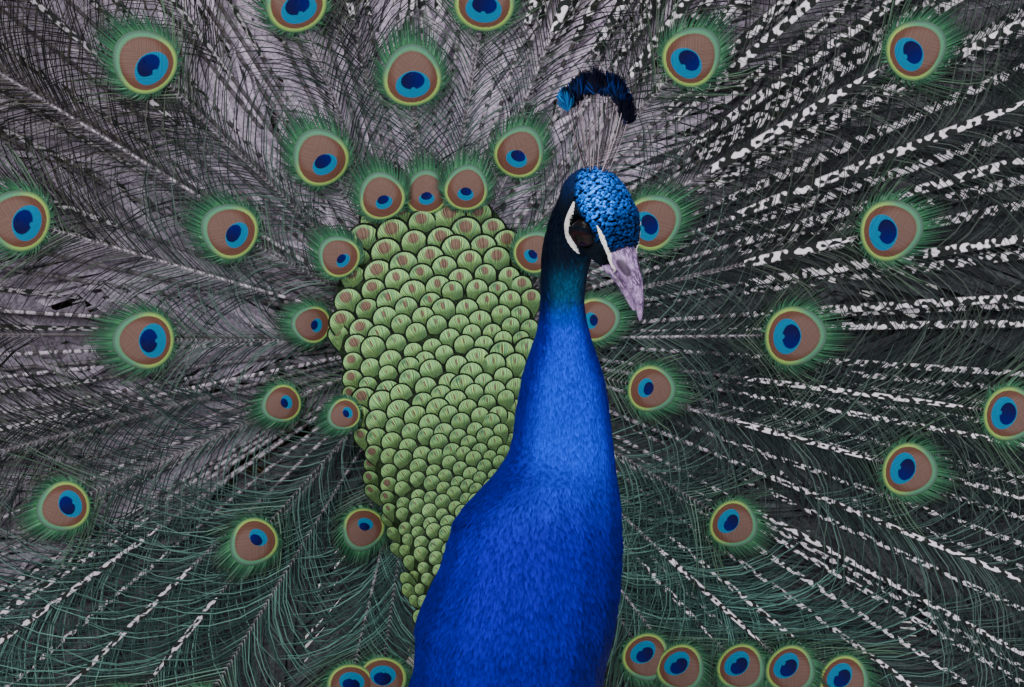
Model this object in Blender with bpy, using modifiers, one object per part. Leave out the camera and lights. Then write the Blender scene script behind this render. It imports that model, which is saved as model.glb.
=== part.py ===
"""Displaying peacock (male Indian peafowl), life size and still.

Metres, +Z up. The bird stands on Z = 0 and faces -Y; +X is its own left side.
The body is one smooth form along a bent spine, parted into nodes by thin cuts.
The raised train is a shallow cup of blades round FAN_CENTRE.
"""

from math import asin, cos, pi, radians, sin

import bmesh
import bpy
import numpy as np
from mathutils import Matrix, Vector

# ---- driving dimensions -------------------------------------------------------------

GAP = 0.0003                       # clearance between neighbouring solids
AROUND = 16                        # facets round the body
SHARP = radians(40)                # edges that bend more than this stay sharp

# Spine of tail root, trunk, breast and neck: x, y, z, half width, half depth.
BODY_SPINE = (
    (0.000, 0.138, 0.296, 0.020, 0.020),
    (0.000, 0.108, 0.285, 0.052, 0.044),
    (0.000, 0.050, 0.285, 0.075, 0.065),
    (0.000, -0.010, 0.292, 0.084, 0.074),
    (0.000, -0.062, 0.318, 0.080, 0.080),
    (-0.002, -0.104, 0.366, 0.068, 0.076),
    (-0.002, -0.130, 0.422, 0.0570, 0.066),
    (0.0034, -0.136, 0.466, 0.0608, 0.058),
    (0.0130, -0.133, 0.500, 0.0555, 0.049),
    (0.0184, -0.128, 0.528, 0.0504, 0.042),
    (0.0268, -0.123, 0.546, 0.0403, 0.037),
    (0.0332, -0.121, 0.562, 0.0322, 0.034),
    (0.0338, -0.122, 0.585, 0.0288, 0.030),
    (0.0330, -0.127, 0.610, 0.0245, 0.026),
    (0.0315, -0.134, 0.636, 0.0162, 0.020),
    (0.0292, -0.140, 0.660, 0.0132, 0.0160),
    (0.0307, -0.1455, 0.686, 0.0150, 0.0165),
    (0.0350, -0.1508, 0.708, 0.0150, 0.0160),
    (0.0380, -0.1560, 0.7235, 0.0114, 0.0126),
)
BODY_PARTS = (("trunk", 0, 5), ("breast", 5, 9), ("neck_lower", 9, 13), ("neck_upper", 13, 18))
SPINE_STEPS = 2                    # rings between two rows of the spine

# Head, in its own frame: forward, up, half width, half height.
HEAD_CENTRE = Vector((0.0435, -0.170, 0.7095))
HEAD_YAW = radians(27)             # towards the bird's left
HEAD_PITCH = radians(42)           # bill down
HEAD_ROLL = radians(6)             # crown towards the bird's right
HEAD_PROFILE = (
    (-0.0285, 0.0010, 0.0075, 0.0085),
    (-0.0250, 0.0022, 0.0122, 0.0143),
    (-0.0155, 0.0034, 0.0166, 0.0196),
    (-0.0040, 0.0034, 0.0188, 0.0214),
    (0.0065, 0.0020, 0.0184, 0.0204),
    (0.0150, 0.0012, 0.0168, 0.0187),
    (0.0220, 0.0000, 0.0136, 0.0160),
    (0.0270, -0.0022, 0.0100, 0.0120),
)
HEAD_AROUND = 16
EYE_PLACE = (0.0074, 0.0135, 0.0008)   # forward, to the side, up
EYE_RADIUS = 0.0084

# Bill, in the head's frame: forward, up, half width, half height.
UPPER_BILL = (
    (0.0273, 0.0005, 0.0092, 0.0064),
    (0.0335, -0.0002, 0.0076, 0.0059),
    (0.0410, -0.0020, 0.0060, 0.0052),
    (0.0495, -0.0057, 0.0043, 0.0042),
    (0.0565, -0.0102, 0.0027, 0.0030),
    (0.0615, -0.0150, 0.0011, 0.0015),
)
LOWER_BILL = (
    (0.0273, -0.0098, 0.0084, 0.0034),
    (0.0335, -0.0096, 0.0066, 0.0029),
    (0.0415, -0.0104, 0.0048, 0.0023),
    (0.0500, -0.0130, 0.0028, 0.0016),
    (0.0545, -0.0150, 0.0012, 0.0009),
)

# Crest: a fan of tipped shafts on the crown.
CREST_ROOT = (-0.0185, 0.0195)     # forward, up, in the head's frame
CREST_LEAN = radians(10)           # backwards from upright
CREST_TURN = radians(42)           # of its plane, from straight across towards the front
CREST_TILT = radians(6)            # towards the bird's right
CREST_HEIGHT = 0.0575
# Outline of the fan: turn from its middle towards the bird's left in degrees, share of the height.
CREST_ARC = ((-28, 0.86), (-15, 0.97), (0, 1.0), (12, 0.97), (25, 0.85), (36, 0.68))
CREST_ROOT_HALF = 0.0016
CREST_TIP_HALF = 0.0050
CREST_ROWS = (0.03, 0.35, 0.65, 0.82, 0.93, 1.0)   # shares of the height where it has a ring
EDGE_THINNING = 0.4                # a thin form ends in this share of its thickness

# Back: from the trunk up to the middle of the train, as the spine's rows are.
BACK_SPINE = (
    (-0.001, -0.030, 0.350, 0.022, 0.018),
    (-0.001, 0.026, 0.385, 0.024, 0.030),
    (-0.001, 0.072, 0.436, 0.033, 0.039),
    (-0.001, 0.108, 0.492, 0.052, 0.036),
    (0.000, 0.129, 0.552, 0.068, 0.029),
    (0.001, 0.140, 0.604, 0.074, 0.021),
    (0.002, 0.147, 0.648, 0.062, 0.013),
    (0.003, 0.150, 0.683, 0.030, 0.007),
)

# Train: blades on a shallow cup, seen from -Y as a disc.
FAN_CENTRE = Vector((0.0, 0.165, 0.573))
FAN_RADIUS = 1.10
FAN_CUP = 0.14                     # how far the rim stands in front of the centre
ROOT_RADIUS = 0.165
ROOT_THICKNESS = 0.006
ROOT_AROUND = 24
ROOT_INNER = (0.09, 0.02)          # inner rings of each face, as shares of its radius
BLADE_THICKNESS = 0.0012
BLADE_NOTCH = 0.030                # depth of the notches between feather tips
UPPER_BLADES = 26
SIDE_BLADES = 4                    # shorter ones below, on each side
UPPER_LIMIT = radians(-35)         # the full-length blades start here, on each side
LOWER_LIMIT = radians(-80)         # the tail root passes between the two last ones
TIP_HEIGHT = 0.045                 # of the drooping tips above the floor
SHORTEST_BLADE = 0.34
TIPS_PER_BLADE = 2
BLADE_ROWS = 5

# Tail behind the train, and the feathers that cover its root.
TAIL_SPINE = (
    (0.000, 0.128, 0.296, 0.020, 0.020),
    (0.000, 0.158, 0.312, 0.022, 0.019),
    (0.000, 0.184, 0.350, 0.023, 0.015),
    (0.000, 0.191, 0.396, 0.024, 0.010),
    (0.000, 0.191, 0.432, 0.020, 0.006),
)
TAIL_CENTRE = Vector((0.0, 0.190, 0.400))
TAIL_ROOT = 0.012
TAIL_LENGTH = 0.40
TAIL_HALF_SPREAD = radians(66)
TAIL_THICKNESS = 0.0016
TAIL_CUP = 0.012
TAIL_FEATHERS = 10
TAIL_NOTCH = 0.018                 # depth of the notches between its tips
TAIL_ROWS = 4

# Wings: drooped along the trunk, x for the left side, as the spine's rows are.
WING_SPINE = (
    (0.066, -0.096, 0.338, 0.010, 0.020),
    (0.084, -0.070, 0.322, 0.014, 0.044),
    (0.099, -0.015, 0.292, 0.015, 0.060),
    (0.101, 0.045, 0.262, 0.013, 0.062),
    (0.092, 0.100, 0.236, 0.010, 0.050),
    (0.078, 0.136, 0.222, 0.006, 0.026),
)
WING_AROUND = 12
QUILL_THICKNESS = 0.0020
QUILL_FRONT = (0.1000, -0.020, 0.262)  # top of the front quill, for the left side
QUILL_BACK = (0.0880, 0.100, 0.214)
QUILL_DROP_FRONT = 0.128
QUILL_DROP_BACK = 0.150
QUILL_SWEEP = 0.050                # how far the tips lie behind the roots
QUILL_NOTCH = 0.1                  # share of a quill's length between two tips
QUILL_BULGE = 0.006                # outwards, halfway along the wing
QUILL_TUCK = 0.010                 # of the tips, towards the body
QUILLS = 6
QUILL_ROWS = 4

# Legs, for the left side; the right foot stands STRIDE further back.
HIP = (0.046, -0.010, 0.262)
HEEL = (0.066, 0.034, 0.132)
ANKLE = (0.076, -0.010, 0.024)
STRIDE = 0.045
STANCE_SHIFT = -0.006
THIGH_ROWS = ((0.0, 0.038, 0.050), (0.35, 0.033, 0.042), (0.7, 0.021, 0.026), (1.0, 0.0085, 0.0095))
SHANK_HALF = (0.0072, 0.0050, 0.0052, 0.0066)   # half widths from heel to ankle
SHANK_CLEARANCE = 0.0015           # of its upper end from the heel
SPUR_LENGTH = 0.016
SPUR_PLACE = 0.62                  # share of the way from heel to ankle
SPUR_AIM = (-0.35, 1.0, 0.25)      # for the left side
SPUR_ROWS = ((0.0, 0.0034, 0.0034), (0.6, 0.0022, 0.0022), (1.0, 0.0006, 0.0006))
TOES = ((4, 0.078), (-34, 0.062), (42, 0.060), (172, 0.034))   # turn out in degrees, length
TOE_HALF = 0.0062
TOE_TIP_HALF = 0.0026
SOLE_CUT = 0.0016                  # how much of the round toes the flat soles take off
PAD_RADIUS = 0.0115
PAD_ROWS = ((-0.004, 0.9), (0.006, 1.0), (0.014, 0.80))   # height, share of the pad's radius
PAD_TOP = 0.56                     # share of the pad's radius at the ankle
TOE_SHARES = (0.0, 0.35, 0.7, 0.9, 1.0)   # where a toe has a ring
TOE_DROP = 0.8                     # a thinner ring stands lower by this share of what it lost
ANKLE_CUT_RADIUS = 0.03


# ---- building blocks ------------------------------------------------------------------

def clear_scene():
    for item in list(bpy.data.objects):
        bpy.data.objects.remove(item, do_unlink=True)


def new_collection(name):
    made = bpy.data.collections.new(name)
    bpy.context.scene.collection.children.link(made)
    return made


def make_material(name, colour, roughness, metallic=0.0):
    made = bpy.data.materials.new(name)
    made.use_nodes = True
    shader = made.node_tree.nodes["Principled BSDF"]
    shader.inputs["Base Color"].default_value = (*colour, 1.0)
    shader.inputs["Roughness"].default_value = roughness
    shader.inputs["Metallic"].default_value = metallic
    made.diffuse_color = (*colour, 1.0)
    return made


def add_object(name, mesh, material, collection):
    made = bpy.data.objects.new(name, mesh)
    collection.objects.link(made)
    if material:
        mesh.materials.append(material)
        mesh.shade_smooth()
        mesh.set_sharp_from_angle(angle=SHARP)
    else:
        made.hide_render = True
        made.display_type = "WIRE"
    return made


def smooth_rows(rows, steps):
    """Rows between the given ones, on a cubic through them."""
    rows = np.asarray(rows, float)
    slopes = np.gradient(rows, axis=0)
    found = []
    for low in range(len(rows) - 1):
        for step in range(steps):
            t = step / steps
            found.append(
                (2 * t**3 - 3 * t**2 + 1) * rows[low] + (t**3 - 2 * t**2 + t) * slopes[low]
                + (3 * t**2 - 2 * t**3) * rows[low + 1] + (t**3 - t**2) * slopes[low + 1]
            )
    found.append(rows[-1])
    return np.array(found)


def ellipse(centre, side, up, half_width, half_depth, around):
    turns = [2 * pi * step / around for step in range(around)]
    return [centre + side * (half_width * cos(t)) + up * (half_depth * sin(t)) for t in turns]


def spine_rings(rows, around=AROUND, side=Vector((1, 0, 0)), upright=False):
    """Rings across a bent spine; its direction at each row comes from the neighbours.

    Upright rings don't lean with a spine that bends sideways.
    """
    points = [Vector(row[:3]) for row in rows]
    rings = []
    for index, row in enumerate(rows):
        ahead = points[min(index + 1, len(points) - 1)] - points[max(index - 1, 0)]
        if upright:
            ahead.x = 0.0
        ahead.normalize()
        across = (side - ahead * side.dot(ahead)).normalized()
        rings.append(ellipse(points[index], across, ahead.cross(across), row[3], row[4], around))
    return rings


def shrink_from(rings, step):
    """A copy whose first and last ring stand further in along the spine by this much."""
    rings = list(rings)
    for end, inner in ((0, 1), (-1, -2)):
        centre = sum(rings[end], Vector()) / len(rings[end])
        towards = (sum(rings[inner], Vector()) / len(rings[inner]) - centre).normalized()
        rings[end] = [point + towards * step for point in rings[end]]
    return rings


def loft(name, rings, material, collection):
    """A closed skin over rings of equal count, with a fan of faces on each end.

    Its faces are split the same way each time, so a larger copy clears the form all over.
    """
    form = bmesh.new()
    rows = [[form.verts.new(point) for point in ring] for ring in rings]
    count = len(rows[0])
    for low, high in zip(rows, rows[1:]):
        for index in range(count):
            after = (index + 1) % count
            form.faces.new((low[index], low[after], high[after]))
            form.faces.new((low[index], high[after], high[index]))
    for row in (rows[0], rows[-1]):
        centre = form.verts.new(sum((vert.co for vert in row), Vector()) / count)
        for index in range(count):
            form.faces.new((row[index], row[(index + 1) % count], centre))
    bmesh.ops.recalc_face_normals(form, faces=form.faces)
    mesh = bpy.data.meshes.new(name)
    form.to_mesh(mesh)
    form.free()
    return add_object(name, mesh, material, collection)


def sheet(name, grid, thickness, material, collection):
    """A thin shell over a grid of points, given its thickness by Solidify."""
    form = bmesh.new()
    rows = [[form.verts.new(point) for point in row] for row in grid]
    for low, high in zip(rows, rows[1:]):
        for index in range(len(low) - 1):
            form.faces.new((low[index], low[index + 1], high[index + 1], high[index]))
    mesh = bpy.data.meshes.new(name)
    form.to_mesh(mesh)
    form.free()
    made = add_object(name, mesh, material, collection)
    wall = made.modifiers.new("wall", "SOLIDIFY")
    wall.thickness = thickness
    wall.offset = 0.0
    return made


def combine(target, tool, operation):
    change = target.modifiers.new(f"{operation.lower()}_{tool.name}", "BOOLEAN")
    change.operation = operation
    change.object = tool


def mirrored(rows):
    return [(-row[0], *row[1:]) for row in rows]


# ---- body -----------------------------------------------------------------------------

def body_rings(grow=0.0):
    rows = smooth_rows(BODY_SPINE, SPINE_STEPS)
    rows[:, 3:5] += grow
    return spine_rings(rows, upright=True)


def build_body(down, blue, collection):
    rings = body_rings()
    made = {}
    for name, start, end in BODY_PARTS:
        part = rings[start * SPINE_STEPS:end * SPINE_STEPS + 1]
        material = down if name == "trunk" else blue
        made[name] = loft(name, shrink_from(part, GAP / 2), material, collection)
    return made


def body_cutter(name, start, end, cutters):
    """The body between two rows of its spine, larger by the gap all round."""
    rings = body_rings(GAP)[start * SPINE_STEPS:end * SPINE_STEPS + 1]
    longer = shrink_from(rings, -GAP)
    return loft(name, [longer[0], *rings, longer[-1]], None, cutters)


def build_back(trunk_cutter, breast_cutter, material, collection):
    back = loft("back", spine_rings(smooth_rows(BACK_SPINE, 2)), material, collection)
    combine(back, trunk_cutter, "DIFFERENCE")
    combine(back, breast_cutter, "DIFFERENCE")
    return back


# ---- head -----------------------------------------------------------------------------

def head_matrix():
    turn = Matrix.Rotation(HEAD_YAW, 4, "Z") @ Matrix.Rotation(HEAD_PITCH, 4, "X")
    return Matrix.Translation(HEAD_CENTRE) @ turn @ Matrix.Rotation(-HEAD_ROLL, 4, "Y")


def head_rings(rows, steps, around, grow=0.0):
    """Rings across the head's length; in its own frame it points along -Y."""
    place = head_matrix()
    rings = []
    for forward, up, half_width, half_height in smooth_rows(rows, steps):
        ring = ellipse(Vector((0, -forward, up)), Vector((1, 0, 0)), Vector((0, 0, 1)),
                       half_width + grow, half_height + grow, around)
        rings.append([place @ point for point in ring])
    return rings


def ball(name, centre, radius, material, collection):
    form = bmesh.new()
    bmesh.ops.create_uvsphere(form, u_segments=12, v_segments=8, radius=radius)
    bmesh.ops.translate(form, verts=form.verts, vec=centre)
    mesh = bpy.data.meshes.new(name)
    form.to_mesh(mesh)
    form.free()
    return add_object(name, mesh, material, collection)


def build_head(neck, skin, horn, eye_colour, collection, cutters):
    head = loft("head", head_rings(HEAD_PROFILE, 2, HEAD_AROUND), skin, collection)
    head_cutter = loft("head_cutter", head_rings(HEAD_PROFILE, 2, HEAD_AROUND, GAP), None, cutters)
    combine(neck, head_cutter, "DIFFERENCE")
    for name, rows in (("bill_upper", UPPER_BILL), ("bill_lower", LOWER_BILL)):
        loft(name, head_rings(rows, 2, 12), horn, collection)
    forward, aside, up = EYE_PLACE
    for name, hand in (("eye_left", 1), ("eye_right", -1)):
        centre = head_matrix() @ Vector((hand * aside, -forward, up))
        ball(name, centre, EYE_RADIUS, eye_colour, collection)
        socket = ball(f"{name}_socket", centre, EYE_RADIUS + GAP, None, cutters)
        combine(head, socket, "DIFFERENCE")
    return head_cutter


def build_crest(head_cutter, material, collection):
    """A thin fan that widens and thickens from its root to the arc of its tips."""
    forward, up = CREST_ROOT
    turn = Matrix.Rotation(-CREST_TURN, 4, "Z") @ Matrix.Rotation(-CREST_LEAN, 4, "X")
    turn = turn @ Matrix.Rotation(-CREST_TILT, 4, "Y")
    place = Matrix.Translation(head_matrix() @ Vector((0, -forward, up))) @ turn
    rings = []
    for share in CREST_ROWS:
        half = CREST_ROOT_HALF + (CREST_TIP_HALF - CREST_ROOT_HALF) * share**2
        if share == CREST_ROWS[-1]:
            half *= EDGE_THINNING
        arc = [(radians(turn), CREST_HEIGHT * share * height) for turn, height in CREST_ARC]
        front = [Vector((reach * sin(t), -half, reach * cos(t))) for t, reach in arc]
        rear = [Vector((reach * sin(t), half, reach * cos(t))) for t, reach in reversed(arc)]
        rings.append([place @ point for point in front + rear])
    crest = loft("crest", rings, material, collection)
    combine(crest, head_cutter, "DIFFERENCE")


# ---- train ----------------------------------------------------------------------------

def cup_point(radius, angle, back=0.0):
    """A point of the train's surface; angle 0 is the bird's left and a quarter turn is up."""
    y = FAN_CENTRE.y - FAN_CUP * (radius / FAN_RADIUS) ** 2 + back
    return Vector((radius * cos(angle), y, FAN_CENTRE.z + radius * sin(angle)))


def blade_reach(angle):
    """Length limit at an angle: the full radius, or what the floor and the legs leave."""
    dip = -asin(sin(angle))
    if dip <= 0:
        return FAN_RADIUS
    to_floor = min(FAN_RADIUS, (FAN_CENTRE.z - TIP_HEIGHT) / sin(dip))
    below = min(max((dip + UPPER_LIMIT) / (UPPER_LIMIT - LOWER_LIMIT), 0.0), 1.0)
    keep = (1 - below) ** 1.5
    return to_floor * keep + SHORTEST_BLADE * (1 - keep)


def blade_grid(middle, half_turn):
    """Columns run to feather tips and to the notches between them."""
    columns = 2 * TIPS_PER_BLADE
    root = ROOT_RADIUS + GAP
    grid = []
    for row in range(BLADE_ROWS):
        share = (row / (BLADE_ROWS - 1)) ** 0.85
        points = []
        for column in range(columns + 1):
            across = 2 * column / columns - 1
            angle = middle + across * half_turn
            reach = blade_reach(angle) - (0 if column % 2 else BLADE_NOTCH)
            radius = root + (reach - root) * share
            angle -= across * (GAP + BLADE_THICKNESS / 4) / radius
            points.append(cup_point(radius, angle))
        grid.append(points)
    return grid


def blade_middles():
    upper = (pi - 2 * UPPER_LIMIT) / UPPER_BLADES
    lower = (UPPER_LIMIT - LOWER_LIMIT) / SIDE_BLADES
    found = [(UPPER_LIMIT + upper * (index + 0.5), upper / 2) for index in range(UPPER_BLADES)]
    for index in range(SIDE_BLADES):
        middle = LOWER_LIMIT + lower * (index + 0.5)
        found += [(middle, lower / 2), (pi - middle, lower / 2)]
    return found


def build_train(material, collection):
    for index, (middle, half_turn) in enumerate(blade_middles(), 1):
        sheet(f"train_{index:02}", blade_grid(middle, half_turn), BLADE_THICKNESS, material, collection)


def build_train_root(cutters_of, material, collection):
    """The disc that the blades grow from, let into the back and open for the tail below."""
    turns = [2 * pi * step / ROOT_AROUND for step in range(ROOT_AROUND)]
    front = [(share, -ROOT_THICKNESS / 2) for share in (*reversed(ROOT_INNER), 1.0)]
    rear = [(share, ROOT_THICKNESS / 2) for share in (1.0, *ROOT_INNER)]
    rings = [[cup_point(ROOT_RADIUS * share, turn, back) for turn in turns]
             for share, back in front + rear]
    disc = loft("train_root", rings, material, collection)
    for cutter in cutters_of:
        combine(disc, cutter, "DIFFERENCE")
    return disc


# ---- tail -----------------------------------------------------------------------------

def build_tail(trunk_cutter, cover, quill, collection, cutters):
    rows = smooth_rows(TAIL_SPINE, 2)
    root = loft("tail_root", spine_rings(rows, 12), cover, collection)
    combine(root, trunk_cutter, "DIFFERENCE")
    rows[:, 3:5] += GAP
    root_cutter = loft("tail_root_cutter", shrink_from(spine_rings(rows, 12), -GAP), None, cutters)
    grid = []
    columns = 2 * TAIL_FEATHERS
    for row in range(TAIL_ROWS):
        points = []
        for column in range(columns + 1):
            angle = pi / 2 + TAIL_HALF_SPREAD * (2 * column / columns - 1)
            reach = TAIL_LENGTH - (0 if column % 2 else TAIL_NOTCH)
            radius = TAIL_ROOT + (reach - TAIL_ROOT) * row / (TAIL_ROWS - 1)
            bow = TAIL_CUP * (radius / TAIL_LENGTH) ** 2
            points.append(TAIL_CENTRE + Vector((radius * cos(angle), bow, radius * sin(angle))))
        grid.append(points)
    tail = sheet("tail", grid, TAIL_THICKNESS, quill, collection)
    combine(tail, root_cutter, "DIFFERENCE")


# ---- wings ----------------------------------------------------------------------------

def quill_grid(hand):
    """Hanging flight feathers: one scallop of the lower edge for each quill."""
    front, back = Vector(QUILL_FRONT), Vector(QUILL_BACK)
    grid = []
    for row in range(QUILL_ROWS):
        share = row / (QUILL_ROWS - 1)
        points = []
        for column in range(2 * QUILLS + 1):
            along = column / (2 * QUILLS)
            drop = QUILL_DROP_FRONT + (QUILL_DROP_BACK - QUILL_DROP_FRONT) * along
            drop *= 1 if column % 2 else 1 - QUILL_NOTCH
            top = front.lerp(back, along)
            bulge = QUILL_BULGE * sin(pi * along)
            points.append(Vector((hand * (top.x + bulge - QUILL_TUCK * share**2),
                                  top.y + QUILL_SWEEP * share, top.z - drop * share)))
        grid.append(points)
    return grid


def build_wings(trunk_cutter, breast_cutter, covert, quill, collection, cutters):
    for side, hand in (("left", 1), ("right", -1)):
        rows = WING_SPINE if hand > 0 else mirrored(WING_SPINE)
        rows = smooth_rows(rows, 2)
        wing = loft(f"wing_{side}", spine_rings(rows, WING_AROUND), covert, collection)
        rows = rows.copy()
        rows[:, 3:5] += GAP
        wing_cutter = loft(f"wing_{side}_cutter", spine_rings(rows, WING_AROUND), None, cutters)
        quills = sheet(f"flight_feathers_{side}", quill_grid(hand), QUILL_THICKNESS, quill, collection)
        combine(quills, wing_cutter, "DIFFERENCE")
        for cutter in (trunk_cutter, breast_cutter):
            combine(wing, cutter, "DIFFERENCE")


# ---- legs -----------------------------------------------------------------------------

def limb_rings(start, end, halves, around=12):
    """Rings from start to end: share of the way, half width and half depth in each row."""
    start, end = Vector(start), Vector(end)
    rows = [(*start.lerp(end, share), wide, deep) for share, wide, deep in halves]
    return spine_rings(rows, around)


def floor_box(cutters):
    """Takes off all that would reach below the floor."""
    form = bmesh.new()
    bmesh.ops.create_cube(form, size=1.0)
    bmesh.ops.translate(form, verts=form.verts, vec=(0, 0, -0.5))
    mesh = bpy.data.meshes.new("floor_cutter")
    form.to_mesh(mesh)
    form.free()
    return add_object("floor_cutter", mesh, None, cutters)


def build_foot(side, ankle, floor_cutter, scale_skin, collection, cutters):
    """Pad and toes joined to one body, with the soles cut flat."""
    middle = Vector((ankle.x, ankle.y, 0.0))
    level = TOE_HALF - SOLE_CUT
    pad_rings = []
    for height, radius in (*PAD_ROWS, (ankle.z - GAP, PAD_TOP)):
        centre = middle + Vector((0, 0, height))
        pad_rings.append(ellipse(centre, Vector((1, 0, 0)), Vector((0, 1, 0)),
                                 PAD_RADIUS * radius, PAD_RADIUS * radius, 12))
    foot = loft(f"foot_{side}", pad_rings, scale_skin, collection)
    hand = 1 if side == "left" else -1
    for index, (turn, length) in enumerate(TOES):
        aim = Vector((sin(radians(turn)) * hand, -cos(radians(turn)), 0))
        rows = []
        for share in TOE_SHARES:
            half = TOE_HALF + (TOE_TIP_HALF - TOE_HALF) * share
            if share == TOE_SHARES[-1]:
                half *= EDGE_THINNING
            rise = Vector((0, 0, level - (TOE_HALF - half) * TOE_DROP))
            rows.append((*(middle + aim * (length * share) + rise), half, half))
        toe = loft(f"toe_{side}_{index}", spine_rings(rows, 8, side=Vector((0, 0, 1))), None, cutters)
        combine(foot, toe, "UNION")
    combine(foot, floor_cutter, "DIFFERENCE")
    return foot


def build_legs(trunk_cutter, down, scale_skin, collection, cutters):
    floor_cutter = floor_box(cutters)
    for side, hand in (("left", 1), ("right", -1)):
        back = STANCE_SHIFT + (STRIDE if hand < 0 else 0.0)
        hip = Vector((HIP[0] * hand, HIP[1] + back / 2, HIP[2]))
        heel = Vector((HEEL[0] * hand, HEEL[1] + back, HEEL[2]))
        ankle = Vector((ANKLE[0] * hand, ANKLE[1] + back, ANKLE[2]))
        thigh = loft(f"thigh_{side}", limb_rings(hip, heel, THIGH_ROWS, 16), down, collection)
        combine(thigh, trunk_cutter, "DIFFERENCE")
        top = heel + (ankle - heel).normalized() * SHANK_CLEARANCE
        halves = [(index / 3, half, half) for index, half in enumerate(SHANK_HALF)]
        shank = loft(f"shank_{side}", limb_rings(top, ankle, halves), scale_skin, collection)
        spur_root = heel.lerp(ankle, SPUR_PLACE)
        spur_aim = Vector((SPUR_AIM[0] * hand, *SPUR_AIM[1:])).normalized()
        spur_tip = spur_root + spur_aim * (SPUR_LENGTH + SHANK_HALF[2])
        spur = loft(f"spur_{side}", limb_rings(spur_root, spur_tip, SPUR_ROWS, 8), None, cutters)
        combine(shank, spur, "UNION")
        thigh_rows = limb_rings(hip, heel, [(s, w + GAP, d + GAP) for s, w, d in THIGH_ROWS], 16)
        thigh_cutter = loft(f"thigh_{side}_cutter", thigh_rows, None, cutters)
        combine(shank, thigh_cutter, "DIFFERENCE")
        foot_top = ellipse(Vector((ankle.x, ankle.y, 0)), Vector((1, 0, 0)), Vector((0, 1, 0)),
                           ANKLE_CUT_RADIUS, ANKLE_CUT_RADIUS, 12)
        slab = [[point + Vector((0, 0, height)) for point in foot_top]
                for height in (-ANKLE_CUT_RADIUS, ankle.z)]
        combine(shank, loft(f"ankle_{side}_cutter", slab, None, cutters), "DIFFERENCE")
        build_foot(side, ankle, floor_cutter, scale_skin, collection, cutters)


# ---- whole bird -----------------------------------------------------------------------

def main():
    clear_scene()
    bird = new_collection("peacock")
    cutters = new_collection("peacock_cutters")
    blue = make_material("blue_plumage", (0.010, 0.085, 0.55), 0.42)
    horn = make_material("bill_horn", (0.22, 0.16, 0.20), 0.45)
    eye_brown = make_material("eye_brown", (0.012, 0.008, 0.007), 0.08)
    crest_dark = make_material("crest_tips", (0.004, 0.02, 0.09), 0.5)
    scale_green = make_material("back_scales", (0.16, 0.28, 0.12), 0.4)
    train_green = make_material("train_vanes", (0.045, 0.055, 0.045), 0.55)
    barred = make_material("wing_bars", (0.24, 0.19, 0.13), 0.6)
    chestnut = make_material("flight_chestnut", (0.25, 0.09, 0.03), 0.6)
    tail_brown = make_material("tail_quills", (0.09, 0.065, 0.045), 0.65)
    down = make_material("dark_down", (0.03, 0.025, 0.02), 0.8)
    leg_grey = make_material("leg_scutes", (0.20, 0.17, 0.14), 0.55)

    body = build_body(down, blue, bird)
    trunk_cutter = body_cutter("trunk_cutter", 0, 5, cutters)
    breast_cutter = body_cutter("breast_cutter", 5, 9, cutters)
    build_back(trunk_cutter, breast_cutter, scale_green, bird)
    head_cutter = build_head(body["neck_upper"], blue, horn, eye_brown, bird, cutters)
    build_crest(head_cutter, crest_dark, bird)
    build_train(train_green, bird)
    back_rows = smooth_rows(BACK_SPINE, 2)
    back_rows[:, 3:5] += GAP
    back_cutter = loft("back_cutter", spine_rings(back_rows), None, cutters)
    build_train_root([back_cutter, trunk_cutter], train_green, bird)
    build_tail(trunk_cutter, down, tail_brown, bird, cutters)
    build_wings(trunk_cutter, breast_cutter, barred, chestnut, bird, cutters)
    build_legs(trunk_cutter, down, leg_grey, bird, cutters)


main()
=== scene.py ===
"""Looks of the displaying peacock: skin, plumage, train, head, legs and stage.

Metres, +Z up; the bird faces -Y and its own left side is +X. Every piece is fitted to
the solids of the frame: places are read from them or given in the head's own axes.
"""

from math import cos, log, pi, radians, sin

import bpy
import numpy as np
from bpy.props import FloatProperty, FloatVectorProperty, IntProperty, PointerProperty
from mathutils import Matrix, Vector
from mathutils.bvhtree import BVHTree


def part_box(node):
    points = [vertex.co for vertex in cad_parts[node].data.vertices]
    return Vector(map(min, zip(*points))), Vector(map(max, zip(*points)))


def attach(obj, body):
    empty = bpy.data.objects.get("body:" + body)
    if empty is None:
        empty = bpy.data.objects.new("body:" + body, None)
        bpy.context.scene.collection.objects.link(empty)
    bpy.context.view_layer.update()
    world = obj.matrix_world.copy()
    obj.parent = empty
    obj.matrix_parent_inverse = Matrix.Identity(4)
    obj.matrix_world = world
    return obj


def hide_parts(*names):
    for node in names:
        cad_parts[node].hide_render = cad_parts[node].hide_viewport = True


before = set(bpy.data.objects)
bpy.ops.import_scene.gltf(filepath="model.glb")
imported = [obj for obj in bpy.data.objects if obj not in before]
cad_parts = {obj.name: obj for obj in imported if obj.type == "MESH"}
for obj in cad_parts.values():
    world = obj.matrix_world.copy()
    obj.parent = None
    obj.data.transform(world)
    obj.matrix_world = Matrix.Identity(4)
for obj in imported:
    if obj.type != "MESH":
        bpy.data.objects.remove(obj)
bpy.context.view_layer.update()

bl_info = {
    "name": "Displaying Peacock",
    "version": (1, 0, 0),
    "blender": (4, 5, 0),
    "location": "3D View > Sidebar > Peacock",
    "description": "Dresses the peacock's solids with skin, feathers, eyes, bill and legs",
    "category": "Object",
}

BODY = "root"
BAKE_MAP = "OFBake"
VANE_MAP = "vane"
TILE = 0.003                       # side of one tuft's patch on its bake map

FLESH = ("trunk", "breast", "neck_lower", "neck_upper", "head", "back", "tail_root",
         "thigh_left", "thigh_right", "wing_left", "wing_right")

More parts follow.
